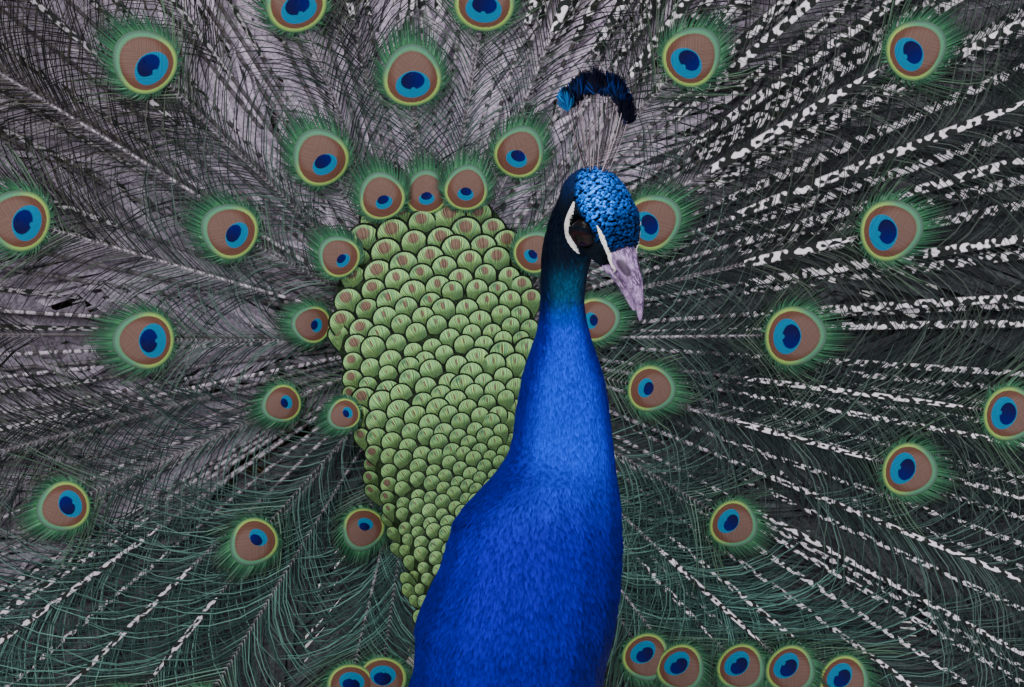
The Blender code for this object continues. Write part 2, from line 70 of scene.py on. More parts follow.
# Angle at which the bill's tip lies below the head's own axis, seen from between the eyes.
TIP_DROP = radians(16.3)
HEAD_SHIFT = (0, 0.0074, -0.0008)  # of the axes' origin from between the eyes
EYE_RADIUS = 0.0084

# Upper and lower bill in the head's axes: forward, up, half width, half height.
UPPER_BILL = (
    (0.0245, 0.0010, 0.0090, 0.0066),
    (0.0275, 0.0005, 0.0090, 0.0065),
    (0.0335, -0.0002, 0.0075, 0.0059),
    (0.0375, -0.0010, 0.0066, 0.0055),
    (0.0410, -0.0020, 0.0059, 0.0051),
    (0.0455, -0.0037, 0.0050, 0.0046),
    (0.0495, -0.0057, 0.0041, 0.0040),
    (0.0535, -0.0082, 0.0032, 0.0034),
    (0.0570, -0.0108, 0.0023, 0.0026),
    (0.0600, -0.0138, 0.0014, 0.0017),
    (0.0614, -0.0156, 0.0006, 0.0008),
)
LOWER_BILL = (
    (0.0245, -0.0092, 0.0084, 0.0036),
    (0.0275, -0.0095, 0.0082, 0.0034),
    (0.0335, -0.0094, 0.0065, 0.0029),
    (0.0415, -0.0103, 0.0047, 0.0023),
    (0.0470, -0.0119, 0.0035, 0.0018),
    (0.0515, -0.0137, 0.0023, 0.0013),
    (0.0545, -0.0151, 0.0010, 0.0007),
)
NOSTRIL = (0.0365, 0.0024)         # forward, up
NOSTRIL_HALF = (0.0062, 0.0025)

# White skin of the face, right side, in the head's axes: left, forward, up, half width.
LORE_STRIPE = (
    (-0.0140, 0.0125, 0.0125, 0.0004),
    (-0.0136, 0.0150, 0.0116, 0.0014),
    (-0.0130, 0.0175, 0.0100, 0.0020),
    (-0.0124, 0.0205, 0.0082, 0.0021),
    (-0.0112, 0.0241, 0.0052, 0.0017),
    (-0.0094, 0.0276, 0.0014, 0.0010),
    (-0.0078, 0.0310, -0.0020, 0.0007),
    (-0.0062, 0.0330, -0.0060, 0.0005),
)
CHEEK_CRESCENT = (
    (-0.0170, -0.0074, 0.0098, 0.0005),
    (-0.0178, -0.0062, 0.0070, 0.0016),
    (-0.0181, -0.0052, 0.0035, 0.0024),
    (-0.0176, -0.0045, -0.0015, 0.0030),
    (-0.0164, -0.0036, -0.0080, 0.0031),
    (-0.0146, -0.0022, -0.0138, 0.0029),
    (-0.0136, 0.0012, -0.0170, 0.0024),
    (-0.0112, 0.0056, -0.0195, 0.0017),
    (-0.0085, 0.0085, -0.0212, 0.0006),
)

# Crest, in the head's axes.
CREST_ROOT = (-0.0185, 0.0195)     # forward, up
CREST_LEAN = radians(10)
CREST_TURN = radians(42)
CREST_TILT = radians(6)
CREST_HEIGHT = 0.0550
CREST_SHAFTS = (-27.0, 37.0)       # turn of its first and last shafts, degrees to the bird's left
CREST_ARC = ((-28, 0.86), (-15, 0.97), (0, 1.0), (12, 0.97), (25, 0.88), (38, 0.74))   # turn, height

# Train: middle of the fan and of the shield of scales, and the cup that the fan forms.
FAN_CENTRE = np.array((0.0, 0.165, 0.573))
FAN_RADIUS = 1.10
FAN_CUP = 0.14
SHIELD_CENTRE = np.array((0.046, 0.389))   # x and z of the point that the rows of scales curve round

SCALE_SIZE = 0.0185                # at which the rows of scales have the width given for them

# Rings of eyed feathers nearest the body: radius, and where its eyes stand in degrees,
# 0 on the bird's left and 90 straight up.
EYE_RINGS = (
    (0.078, (-151,)),
    (0.086, (169,)),
    (0.095, (135, 44)),
    (0.108, (93,)),
    (0.113, (79, 109, -160)),
    (0.118, (6,)),
    (0.141, (-111,)),
    (0.146, (65,)),
    (0.153, (120,)),
    (0.162, (149, -14)),
    (0.177, (27,)),
    (0.187, (94, -133)),
    (0.199, (177,)),
    (0.240, (81,)),
    (0.248, (-99,)),
    (0.255, (111, -104)),
    (0.262, (-33, -1)),
    (0.268, (47,)),
    (0.277, (134, -158)),
    (0.285, (-57,)),
    (0.295, (161,)),
    (0.307, (-54, -123)),
    (0.338, (12, -48, -131)),
    (0.366, (-17, -44)),
    (0.387, (-138,)),
    (0.397, (30, 68, 103, 146)),
    (0.403, (-41, -168)),
    (0.430, (-9, -147)),
)
OUTER_START = 0.455                # beyond this the eyes follow a spiral
EYES_PER_AREA = 60.0               # on each square metre of the fan
FISHTAILS = 34
FLOOR_GAP = 0.004                  # nothing of the train comes nearer the floor


# ---- settings a user can change ---------------------------------------------------------

def length_setting(name, description, default):
    return FloatProperty(
        name=name, description=description, default=default, subtype="DISTANCE", unit="LENGTH")


def colour_setting(name, description, default):
    return FloatVectorProperty(
        name=name, description=description, default=default, subtype="COLOR", size=3, min=0, max=1)


class PeacockSizes(bpy.types.PropertyGroup):
    barb_spacing: length_setting("Barb spacing", "Between two barbs along a train feather", 0.0033)
    barb_length: length_setting("Barb length", "Of the longest barbs of the train", 0.088)
    barb_width: length_setting("Barb width", "Of one barb of the train", 0.0008)
    eye_size: length_setting("Eye size", "Across a full-grown eye of the train", 0.042)
    scale_size: length_setting("Scale size", "Width of the scale feathers on the back", SCALE_SIZE)
    crest_feathers: IntProperty(
        name="Crest feathers", description="Number of plumes in the crest", default=28, min=8)


class PeacockColours(bpy.types.PropertyGroup):
    # neck holds the painted azure sheen where the plumage faces front, and neck_side the painted darker blue
    # where it turns away from the light.
    neck: colour_setting("Neck", "Blue of the neck and the breast", (0.0005, 0.056, 1.0))
    nape: colour_setting("Nape", "Dark blue of the nape and of the upper neck", (0.002, 0.006, 0.020))
    neck_side: colour_setting("Neck Side", "Blue of the neck where it turns away", (0.003, 0.004, 0.36))
    breast: colour_setting("Breast", "Deep blue of the lower breast", (0.0015, 0.0004, 0.44))
    scale: colour_setting("Scales", "Green of the scale feathers on the back", (0.150, 0.400, 0.180))
    bare_skin: colour_setting("Bare skin", "White skin of the face", (0.88, 0.87, 0.90))


# ---- nodes of the materials ---------------------------------------------------------------

class Number:
    """A value in a material's nodes; a sum or a product of it adds a node."""

    def __init__(self, tree, socket):
        self.tree, self.socket = tree, socket

    def __add__(self, other):
        return calc("ADD", self, other)

    def __mul__(self, other):
        return calc("MULTIPLY", self, other)

    def __sub__(self, other):
        return calc("SUBTRACT", self, other)

    def __rsub__(self, other):
        return calc("SUBTRACT", other, self)

    def __truediv__(self, other):
        return calc("DIVIDE", self, other)

    def __abs__(self):
        return calc("ABSOLUTE", self)

    __radd__, __rmul__ = __add__, __mul__


class Finish:
    """A material with a Principled shader."""

    def __init__(self, name, roughness, metallic=0.0, specular=0.5, sheen=0.0, coat=0.0):
        self.made = bpy.data.materials.new(name)
        self.made.use_nodes = True
        self.tree = self.made.node_tree
        self.shader = self.tree.nodes["Principled BSDF"].inputs
        settings = {"Roughness": roughness, "Metallic": metallic, "Specular IOR Level": specular,
                    "Sheen Weight": sheen, "Coat Weight": coat}
        for title, value in settings.items():
            self.shader[title].default_value = value

    def mark(self, name, output="Fac"):
        """A point attribute, as a number or, with output Color, as a colour."""
        node = self.tree.nodes.new("ShaderNodeAttribute")
        node.attribute_name = name
        return Number(self.tree, node.outputs[output])

    def map_place(self, name):
        """The two coordinates of a UV map."""
        node = self.tree.nodes.new("ShaderNodeUVMap")
        node.uv_map = name
        parts = self.tree.nodes.new("ShaderNodeSeparateXYZ")
        self.tree.links.new(node.outputs[0], parts.inputs[0])
        return [Number(self.tree, output) for output in parts.outputs[:2]]

    def place(self):
        """Object coordinates."""
        return Number(self.tree, self.tree.nodes.new("ShaderNodeTexCoord").outputs["Object"])

    def colour(self, colour):
        join(colour, self.shader["Base Color"])

    def bump(self, height, strength, distance):
        node = self.tree.nodes.new("ShaderNodeBump")
        node.inputs["Strength"].default_value = strength
        node.inputs["Distance"].default_value = distance
        join(height, node.inputs["Height"])
        self.tree.links.new(node.outputs[0], self.shader["Normal"])


def join(value, socket):
    if isinstance(value, Number):
        value.tree.links.new(value.socket, socket)
    elif hasattr(value, "__len__") and len(socket.default_value) == 4:
        socket.default_value = (*value, 1.0)
    else:
        socket.default_value = value


def new_node(kind, values, sockets=None, output=0, **settings):
    """A node in the tree of the first Number among the values, which go to its inputs."""
    tree = next(value.tree for value in values if isinstance(value, Number))
    node = tree.nodes.new(kind)
    for key, value in settings.items():
        setattr(node, key, value)
    for value, socket in zip(values, sockets or range(len(values))):
        join(value, node.inputs[socket])
    return Number(tree, node.outputs[output])


def calc(operation, *values):
    return new_node("ShaderNodeMath", values, operation=operation)


def vector(*values):
    return new_node("ShaderNodeCombineXYZ", values)


def spread(value, low, high, start=0.0, end=1.0):
    """Maps low..high smoothly onto start..end."""
    return new_node("ShaderNodeMapRange", (value, low, high, start, end), interpolation_type="SMOOTHSTEP")


def mix(factor, first, second, kind="MIX"):
    return new_node("ShaderNodeMix", (factor, first, second), (0, 6, 7), 2, data_type="RGBA", blend_type=kind)


def noise(place, scale, detail=2.0, dimensions="3D"):
    sockets = ("W" if dimensions == "1D" else "Vector", "Scale", "Detail")
    return new_node("ShaderNodeTexNoise", (place, scale, detail), sockets, noise_dimensions=dimensions)


# ---- building blocks ------------------------------------------------------------------------

def select(*pieces):
    """Selects only these; the first is the active one."""
    bpy.ops.object.select_all(action="DESELECT")
    for piece in pieces:
        piece.select_set(True)
    if pieces:
        bpy.context.view_layer.objects.active = pieces[0]


def stepped(values, low, high):
    """Smooth step of an array from 0 at low to 1 at high."""
    share = np.clip((values - low) / (high - low), 0.0, 1.0)
    return share * share * (3 - 2 * share)


def unit(vectors):
    return vectors / np.maximum(np.linalg.norm(vectors, axis=-1, keepdims=True), 1e-9)


def set_points(mesh, points):
    mesh.vertices.foreach_set("co", np.asarray(points, np.float32).ravel())


def add_mark(mesh, name, values):
    """A point attribute: one number for each point, or the three of a colour."""
    values = np.asarray(values, np.float32)
    if values.ndim == 2:
        values = np.concatenate([values, np.ones((len(values), 1), np.float32)], axis=1)
        mesh.attributes.new(name, "FLOAT_COLOR", "POINT").data.foreach_set("color", values.ravel())
    else:
        mesh.attributes.new(name, "FLOAT", "POINT").data.foreach_set("value", values)


def add_piece(name, points, faces, material, maps=None, marks=None):
    """An object from arrays: points, four-cornered faces, UV maps and point attributes."""
    mesh = bpy.data.meshes.new(name)
    mesh.vertices.add(len(points))
    set_points(mesh, points)
    corners = np.asarray(faces, np.int32).ravel()
    mesh.loops.add(len(corners))
    mesh.loops.foreach_set("vertex_index", corners)
    mesh.polygons.add(len(faces))
    mesh.polygons.foreach_set("loop_start", np.arange(0, len(corners), 4, dtype=np.int32))
    mesh.update(calc_edges=True)
    for map_name, values in (maps or {}).items():
        layer = mesh.uv_layers.new(name=map_name)
        layer.uv.foreach_set("vector", np.asarray(values, np.float32)[corners].ravel())
    for mark_name, values in (marks or {}).items():
        add_mark(mesh, mark_name, values)
    mesh.shade_smooth()
    mesh.materials.append(material)
    made = bpy.data.objects.new(name, mesh)
    bpy.context.scene.collection.objects.link(made)
    return made


def settle(piece, slot, *nodes):
    """Says which body the piece rides on and hides the solids that it stands for; slot is not used."""
    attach(piece, BODY)
    if nodes:
        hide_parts(*nodes)


def numbers(items, name, width=3):
    """Places of a mesh's points or its normals as rows, or the points of its edges or triangles."""
    whole = name == "vertices"
    values = np.empty(len(items) * width, np.int32 if whole else np.float32)
    items.foreach_get(name, values)
    values = values.reshape(-1, width)
    return values if whole else values.astype(float)


def mesh_arrays(mesh):
    """Points, normals and triangles of a mesh."""
    points, normals = numbers(mesh.vertices, "co"), numbers(mesh.vertex_normals, "vector")
    mesh.calc_loop_triangles()
    return points, normals, numbers(mesh.loop_triangles, "vertices")


def node_points(name):
    return numbers(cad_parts[name].data.vertices, "co")


def middle_of(name):
    low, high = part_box(name)
    return (Vector(low) + Vector(high)) / 2


def head_axes():
    """Matrix of the head's own axes: +X its left, -Y forward, +Z up, eyes at their CAD place."""
    left, right = middle_of("eye_left"), middle_of("eye_right")
    aside = (left - right).normalized()
    between = (left + right) / 2
    points = node_points("bill_upper")
    reach = np.linalg.norm(points - np.array(between), axis=1)
    towards = Vector(points[int(reach.argmax())]) - between
    towards = (towards - aside * towards.dot(aside)).normalized()
    up = aside.cross(-towards).normalized()
    forward = (towards * cos(TIP_DROP) + up * sin(TIP_DROP)).normalized()
    up = aside.cross(-forward).normalized()
    turn = Matrix((aside, -forward, up)).transposed().to_4x4()
    return Matrix.Translation(between) @ turn @ Matrix.Translation(HEAD_SHIFT)


HEAD = head_axes()


def in_head(points):
    """Points in the head's own axes, as left, forward, up."""
    inverse = np.array(HEAD.inverted())
    local = np.asarray(points) @ inverse[:3, :3].T + inverse[:3, 3]
    return local * (1, -1, 1)


def from_head(points):
    matrix = np.array(HEAD)
    local = np.asarray(points) * (1, -1, 1)
    return local @ matrix[:3, :3].T + matrix[:3, 3]


def draw_out(name, rows, around, place=None, flat_below=1.0):
    """A closed tube drawn along -Y by extruding a ring; rows: forward, up, half width, height.

    The lower half of each ring is flattened by flat_below.
    """
    select()
    forward, up, wide, high = rows[0]
    bpy.ops.mesh.primitive_circle_add(
        vertices=around, radius=1.0, fill_type="NGON", location=(0, -forward, up),
        rotation=(radians(90), 0, 0))
    made = bpy.context.object
    made.name = name
    bpy.ops.object.transform_apply()
    if flat_below != 1.0:
        for vert in made.data.vertices:
            if vert.co.z < up:
                vert.co.z = up + (vert.co.z - up) * flat_below
    bpy.ops.object.mode_set(mode="EDIT")
    bpy.ops.mesh.select_mode(type="FACE")
    bpy.ops.mesh.select_all(action="SELECT")
    bpy.ops.transform.resize(value=(wide, 1, high), center_override=(0, -forward, up))
    for row in rows[1:]:
        step = (0, forward - row[0], row[1] - up)
        bpy.ops.mesh.extrude_region_move(TRANSFORM_OT_translate={"value": step})
        bpy.ops.transform.resize(value=(row[2] / wide, 1, row[3] / high),
                                 center_override=(0, -row[0], row[1]))
        forward, up, wide, high = row
    bpy.ops.mesh.select_all(action="SELECT")
    bpy.ops.mesh.normals_make_consistent(inside=False)
    bpy.ops.object.mode_set(mode="OBJECT")
    if place is not None:
        made.matrix_world = place
        bpy.ops.object.transform_apply()
    return made


def apply_modifier(piece, kind, **settings):
    select(piece)
    change = piece.modifiers.new("change", kind)
    for key, value in settings.items():
        setattr(change, key, value)
    bpy.ops.object.modifier_apply(modifier=change.name)


def join_pieces(name, pieces):
    select(*pieces)
    bpy.ops.object.join()
    pieces[0].name = name
    pieces[0].data.name = name
    return pieces[0]


def vane_form(columns, rows, outline, ridge, curl=0.0):
    """One feather vane, modelled flat on a grid: x across, y from root 0 to tip 1, z up.

    outline is the half width at equal steps of the length, as a share of the widest place.
    """
    select()
    bpy.ops.mesh.primitive_grid_add(x_subdivisions=columns - 1, y_subdivisions=rows - 1,
                                    size=1.0, location=(0, 0, 0))
    made = bpy.context.object
    bpy.ops.object.mode_set(mode="EDIT")
    bpy.ops.mesh.select_mode(type="VERT")
    for row in range(rows):
        share = row / (rows - 1)
        bpy.ops.mesh.select_all(action="DESELECT")
        bpy.ops.object.mode_set(mode="OBJECT")
        for vert in made.data.vertices:
            vert.select = abs(vert.co.y + 0.5 - share) < 0.2 / (rows - 1)
        bpy.ops.object.mode_set(mode="EDIT")
        wide = np.interp(share, np.linspace(0, 1, len(outline)), outline)
        bpy.ops.transform.resize(value=(2 * wide, 1, 1), center_override=(0, share - 0.5, 0))
        bpy.ops.transform.translate(value=(0, 0, -curl * share**2))
    bpy.ops.object.mode_set(mode="OBJECT")
    points, _, _ = mesh_arrays(made.data)
    order = np.lexsort((points[:, 0], np.round(points[:, 1], 4)))
    grid = points[order].reshape(rows, columns, 3)
    grid[:, :, 1] += 0.5
    across = np.linspace(-1, 1, columns)
    grid[:, :, 2] += ridge * (1 - across**2)[None, :] * np.sin(np.linspace(0.15, 1, rows) * pi)[:, None]
    bpy.data.objects.remove(made, do_unlink=True)
    local = np.stack(np.meshgrid((across + 1) / 2, np.linspace(0, 1, rows)), axis=-1)
    faces = [(row * columns + col, row * columns + col + 1, (row + 1) * columns + col + 1,
              (row + 1) * columns + col) for row in range(rows - 1) for col in range(columns - 1)]
    return grid.reshape(-1, 3), np.array(faces), local.reshape(-1, 2)


def repeated(faces, count, each):
    """The faces of many copies, each with its own points."""
    return (faces + (np.arange(count) * each)[:, None, None]).reshape(-1, 4)


def copies(form, roots, along, up, length, half_width, height=None):
    """Points, faces and local map of many copies of a vane form, each laid at its root."""
    points, faces, local = form
    along = unit(along)
    side = unit(np.cross(along, up))
    up = np.cross(side, along)
    height = length if height is None else height
    count = len(roots)
    laid = roots[:, None] + 0.0
    for axis, (way, size) in enumerate(((side, half_width), (along, length), (up, height))):
        laid = laid + way[:, None] * (points[:, axis:axis + 1] * size[:, None, None])
    return laid.reshape(-1, 3), repeated(faces, count, len(points)), np.tile(local, (count, 1))


def tiles(places, local, each, size=TILE):
    """Bake map: a small patch for each copy at its root's place."""
    places = np.clip(places, 0.01, 0.99)
    return np.repeat(places, each, axis=0) + (local - 0.5) * size


def add_copies(name, made, places, material, size=TILE, **marks):
    """A piece of many copies: where each lies on the bake map, and one value of each mark for it."""
    points, faces, local = made
    each = len(points) // len(places)
    maps = {BAKE_MAP: tiles(places, local, each, size), VANE_MAP: local}
    return add_piece(name, points, faces, material, maps,
                     {key: np.repeat(value, each, axis=0) for key, value in marks.items()})


# ---- skin --------------------------------------------------------------------------------

SKIN_VOXEL = 0.0026
SMOOTHING = 5
THINNING = 0.94                    # share of the skin's faces that are kept, once the coats have their places
SKIN = {}                          # arrays of the finished skin, for the coats

# For each part of the flesh: depth of its coat, and length and half width of its vanes.
COAT = {
    "head": (0.0005, 0.0042, 0.0013), "neck_upper": (0.0006, 0.0070, 0.0011),
    "neck_lower": (0.0008, 0.0080, 0.0012), "breast": (0.0011, 0.0090, 0.0013),
    "trunk": (0.0045, 0.0260, 0.0050), "back": (0.0035, 0.0180, 0.0065),
    "tail_root": (0.0040, 0.0300, 0.0030), "thigh": (0.0030, 0.0200, 0.0032),
    "wing": (0.0032, 0.0300, 0.0085),
}


def kind_of(node):
    return node.split("_")[0] if node.startswith(("thigh", "wing")) else node


def neighbour_mean(values, edges, rounds):
    """Averages a value over the skin's neighbouring points, several times."""
    count = np.bincount(edges.ravel(), minlength=len(values))[:, None]
    for _ in range(rounds):
        total = np.zeros_like(values)
        np.add.at(total, edges[:, 0], values[edges[:, 1]])
        np.add.at(total, edges[:, 1], values[edges[:, 0]])
        values = 0.5 * values + 0.5 * total / count
    return values


def lie_of(owner, points):
    """Which way the feathers of one part point."""
    head = in_head(points)
    if owner == "head":
        away = head - (0, 0.03, -0.002)
        return from_head(unit(away)) - from_head(np.zeros(3)) + (0, 0, -0.15)
    if owner in ("neck_upper", "neck_lower"):
        return np.tile((0.0, 0.0, -1.0), (len(points), 1))
    if owner == "breast":
        back = stepped(points[:, 2], 0.5, 0.33)[:, None]
        return (0.0, 0.15, -1.0) + back * (0.0, 0.75, 0.35)
    if owner == "back":
        out = points[:, [0, 2]] - SHIELD_CENTRE
        return np.stack([out[:, 0], np.full(len(points), 0.02), np.maximum(out[:, 1], 0.0) + 0.03], axis=1)
    if owner == "tail_root":
        return np.stack([points[:, 0] * 8, np.full(len(points), 0.35), np.full(len(points), -0.8)], axis=1)
    if owner.startswith("thigh"):
        return np.tile((0.0, 0.12, -1.0), (len(points), 1))
    if owner.startswith("wing"):
        return np.tile((0.0, 1.0, -0.42), (len(points), 1))
    return np.tile((0.0, 1.0, -0.25), (len(points), 1))


def colour_of(owner, points, normals, colours):
    """Base colour of the plumage, the same on the skin and on the vanes above it; on the neck and breast it
    holds painted sheen, light and shade.
    """
    count = len(points)
    height = points[:, 2:3]
    if owner in ("neck_upper", "neck_lower", "breast"):
        # Painted sheen: the neck's azure shows where the plumage faces front, towards the camera and the
        # lights, and turns to the darker neck_side blue where it faces away.
        facing = stepped(normals @ unit(np.array((-0.04, -0.98, 0.1))), 0.35, 0.88)[:, None]
        azure = np.array(colours.neck) * facing + np.array(colours.neck_side) * (1 - facing)
        # Painted light and shade: brighter where the plumage faces the bird's right, towards the key light,
        # and darker where it faces the bird's left. The lower breast keeps a little of the painted sheen and
        # is darker towards the bottom.
        side_light_and_shade = 1 + 0.4 * stepped(-normals[:, :1], 0.15, 0.75) - 0.4 * stepped(normals[:, :1], 0.1, 0.7)
        lower = np.array(colours.breast) * side_light_and_shade * (0.8 + 0.2 * facing)
        lower = lower * (0.6 + 0.4 * stepped(height, 0.43, 0.54))
        blue = azure + (lower - azure) * stepped(height, 0.58, 0.52)
        # Painted shade: darker where the plumage faces up, to take away the top light's highlight.
        blue = blue * (1 - 0.35 * stepped(normals[:, 2:], 0.12, 0.5))
        teal = np.array((0.002, 0.075, 0.17)) * facing + np.array((0.002, 0.01, 0.045)) * (1 - facing)
        blue = blue + (teal - blue) * stepped(height, 0.64, 0.668)
        return blue + (np.array(colours.nape) - blue) * stepped(height, 0.672, 0.69)
    if owner == "head":
        local = in_head(points)
        crown = stepped(local[:, 2:3] + 0.25 * local[:, 1:2], 0.0095, 0.013)
        face = np.array((0.0012, 0.006, 0.012))
        rear = stepped(local[:, 1:2], -0.006, -0.018) * stepped(local[:, 2:3], -0.012, 0.01)
        side = face * (1 - rear) + np.array((0.003, 0.014, 0.075)) * rear
        front = stepped(local[:, 1:2], 0.002, 0.02)
        azure = np.array((0.001, 0.18, 0.95)) * (1 - front) + np.array((0.001, 0.038, 0.2)) * front
        return side * (1 - crown) + azure * crown
    if owner == "back":
        return np.tile((0.02, 0.038, 0.016), (count, 1))
    if owner == "trunk":
        upper = stepped(height, 0.3, 0.36)
        return (1 - upper) * np.array((0.006, 0.012, 0.018)) + upper * np.array((0.03, 0.05, 0.03))
    if owner == "tail_root":
        return np.tile((0.3, 0.28, 0.26), (count, 1))
    if owner.startswith("thigh"):
        return np.tile((0.26, 0.18, 0.11), (count, 1))
    return np.tile((0.3, 0.235, 0.15), (count, 1))


def bulge(points, centre, radii, height):
    """Weight of a soft oval swelling round a place."""
    return height * np.exp(-(((points - centre) / radii)**2).sum(axis=1))


def shape_head(points, normals):
    """Brow, lore, cheek and eye rim, as moves along the normals."""
    local = in_head(points)
    local[:, 0] = np.abs(local[:, 0])
    near = stepped(np.linalg.norm(local - (0, 0.004, 0), axis=1), 0.05, 0.036)
    move = bulge(local, (0.0135, 0.0085, 0.011), (0.004, 0.0085, 0.0028), 0.0014)
    move += bulge(local, (0.015, -0.003, -0.01), (0.007, 0.009, 0.006), 0.0016)
    move -= bulge(local, (0.0135, 0.02, 0.0), (0.004, 0.004, 0.004), 0.0009)
    move += bulge(local, (0.0, 0.013, 0.017), (0.009, 0.01, 0.006), 0.0008)
    return points + normals * (move * near)[:, None]


class PEACOCK_OT_skin(bpy.types.Operator):
    """One skin over the whole body, a coat's depth inside the solids"""
    bl_idname = "peacock.skin"
    bl_label = "Skin"

    def execute(self, context):
        skin = self.remeshed()
        self.refine_head(skin)
        points, normals, _ = mesh_arrays(skin.data)
        owners = self.owners(points)
        edges = numbers(skin.data.edges, "vertices", 2)
        depth, length, width = (np.zeros(len(points)) for _ in range(3))
        lie, colour = np.zeros((len(points), 3)), np.zeros((len(points), 3))
        for index, owner in enumerate(FLESH):
            mine = owners == index
            depth[mine], length[mine], width[mine] = COAT[kind_of(owner)]
            lie[mine] = unit(lie_of(owner, points[mine]))
            colour[mine] = colour_of(owner, points[mine], normals[mine], context.scene.peacock_colours)
        sizes = neighbour_mean(np.stack([depth, length, width], axis=1), edges, 14)
        lie = neighbour_mean(lie, edges, 14)
        colour = neighbour_mean(colour, edges, 3)
        points = shape_head(points - normals * sizes[:, :1], normals)
        set_points(skin.data, points)
        skin.data.update()
        points, normals, triangles = mesh_arrays(skin.data)
        add_mark(skin.data, "plumage", colour)
        skin.data.shade_smooth()
        SKIN.update(points=points, normals=normals, triangles=triangles, owners=owners, sizes=sizes, lie=lie,
                    colour=colour, tree=BVHTree.FromPolygons(points.tolist(), triangles.tolist()))
        apply_modifier(skin, "DECIMATE", ratio=THINNING)
        skin.data.materials.clear()
        skin.data.materials.append(self.material())
        settle(skin, "dark_down", *FLESH)
        return {"FINISHED"}

    def remeshed(self):
        parts = []
        for name in FLESH:
            part = bpy.data.objects.new(f"{name}_flesh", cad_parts[name].data.copy())
            bpy.context.scene.collection.objects.link(part)
            parts.append(part)
        skin = join_pieces("skin", parts)
        bpy.ops.object.mode_set(mode="EDIT")
        bpy.ops.mesh.select_all(action="SELECT")
        bpy.ops.mesh.remove_doubles(threshold=0.00002)
        bpy.ops.object.mode_set(mode="OBJECT")
        apply_modifier(skin, "REMESH", mode="VOXEL", voxel_size=SKIN_VOXEL)
        apply_modifier(skin, "SMOOTH", factor=0.5, iterations=SMOOTHING)
        return skin

    def refine_head(self, skin):
        """Four times finer on the head and the throat."""
        points, _, _ = mesh_arrays(skin.data)
        near = np.linalg.norm(in_head(points) - (0, 0, -0.004), axis=1) < 0.036
        select(skin)
        bpy.ops.object.mode_set(mode="EDIT")
        bpy.ops.mesh.select_mode(type="VERT")
        bpy.ops.mesh.select_all(action="DESELECT")
        bpy.ops.object.mode_set(mode="OBJECT")
        skin.data.vertices.foreach_set("select", near)
        bpy.ops.object.mode_set(mode="EDIT")
        bpy.ops.mesh.subdivide(number_cuts=1, smoothness=0.0)
        bpy.ops.object.mode_set(mode="OBJECT")

    def owners(self, points):
        """Which part of the flesh each point of the skin came from."""
        corners, faces, kinds = [], [], []
        start = 0
        for index, name in enumerate(FLESH):
            part, _, triangles = mesh_arrays(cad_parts[name].data)
            corners.append(part)
            faces.append(triangles + start)
            kinds += [index] * len(triangles)
            start += len(part)
        tree = BVHTree.FromPolygons(np.concatenate(corners).tolist(), np.concatenate(faces).tolist())
        return np.array([kinds[tree.find_nearest(point)[2]] for point in points.tolist()])

    def material(self):
        look = Finish("plumage_skin", 0.6, specular=0.04)
        colour = look.mark("plumage", "Color")
        fine = noise(look.place(), 420.0, 3.0)
        dark = mix(1.0, colour, (0.45, 0.45, 0.45), "MULTIPLY")
        look.colour(mix(spread(fine, 0.35, 0.65), dark, colour))
        look.bump(fine, 0.5, 0.0006)
        return look.made


# ---- coats -------------------------------------------------------------------------------

def scatter(owners, spacing, seed, keep=None):
    """Places spread over the skin of these parts, about one in each small cube of space."""
    rng = np.random.RandomState(seed)
    kinds = [FLESH.index(owner) for owner in owners]
    triangles = SKIN["triangles"]
    wanted = np.isin(SKIN["owners"][triangles[:, 0]], kinds)
    triangles = triangles[wanted]
    a, b, c = (SKIN["points"][triangles[:, corner]] for corner in range(3))
    area = np.linalg.norm(np.cross(b - a, c - a), axis=1) / 2
    count = int(area.sum() / spacing**2 * 7)
    picked = rng.choice(len(triangles), count, p=area / area.sum())
    u, v = rng.rand(2, count)
    over = u + v > 1
    u[over], v[over] = 1 - u[over], 1 - v[over]
    weights = np.stack([1 - u - v, u, v], axis=1)[:, :, None]
    corners = triangles[picked]

    def blend(values):
        return (values[corners] * weights).sum(axis=1)

    places = blend(SKIN["points"])
    cells = np.floor(places / spacing + rng.rand(3)).astype(np.int64)
    keys = cells[:, 0] * 73856093 ^ cells[:, 1] * 19349663 ^ cells[:, 2] * 83492791
    _, first = np.unique(keys, return_index=True)
    found = {"root": places[first], "normal": unit(blend(SKIN["normals"])[first]),
             "lie": blend(SKIN["lie"])[first], "colour": blend(SKIN["colour"])[first],
             "length": blend(SKIN["sizes"])[first, 1], "width": blend(SKIN["sizes"])[first, 2]}
    if keep is not None:
        chosen = keep(found["root"], found["normal"])
        found = {key: value[chosen] for key, value in found.items()}
    return found


def unwrapped(aside, ahead, along):
    """Angle round an axis, and share of the way along it."""
    share = (along - along.min()) / (along.max() - along.min())
    return np.stack([np.arctan2(aside, ahead) / (2 * pi) + 0.5, share], axis=1)


def round_map(points, normals):
    """Unwrap round an upright body: angle across, height up."""
    return unwrapped(normals[:, 0], -normals[:, 1], points[:, 2])


def long_map(points, normals):
    """Unwrap round a lengthwise body: position along Y across, angle round Y up."""
    return unwrapped(normals[:, 0], normals[:, 2], points[:, 1])[:, ::-1]


def front_map(points):
    """Seen from in front, from one corner of the box round the points to the other."""
    points = points[:, [0, 2]]
    low, high = points.min(axis=0), points.max(axis=0)
    return (points - low) / (high - low)


def head_map(points, normals):
    """Unwrap of the head: turn round its own axis across, back to front up."""
    local = in_head(points)
    return unwrapped(local[:, 0], local[:, 2], local[:, 1])


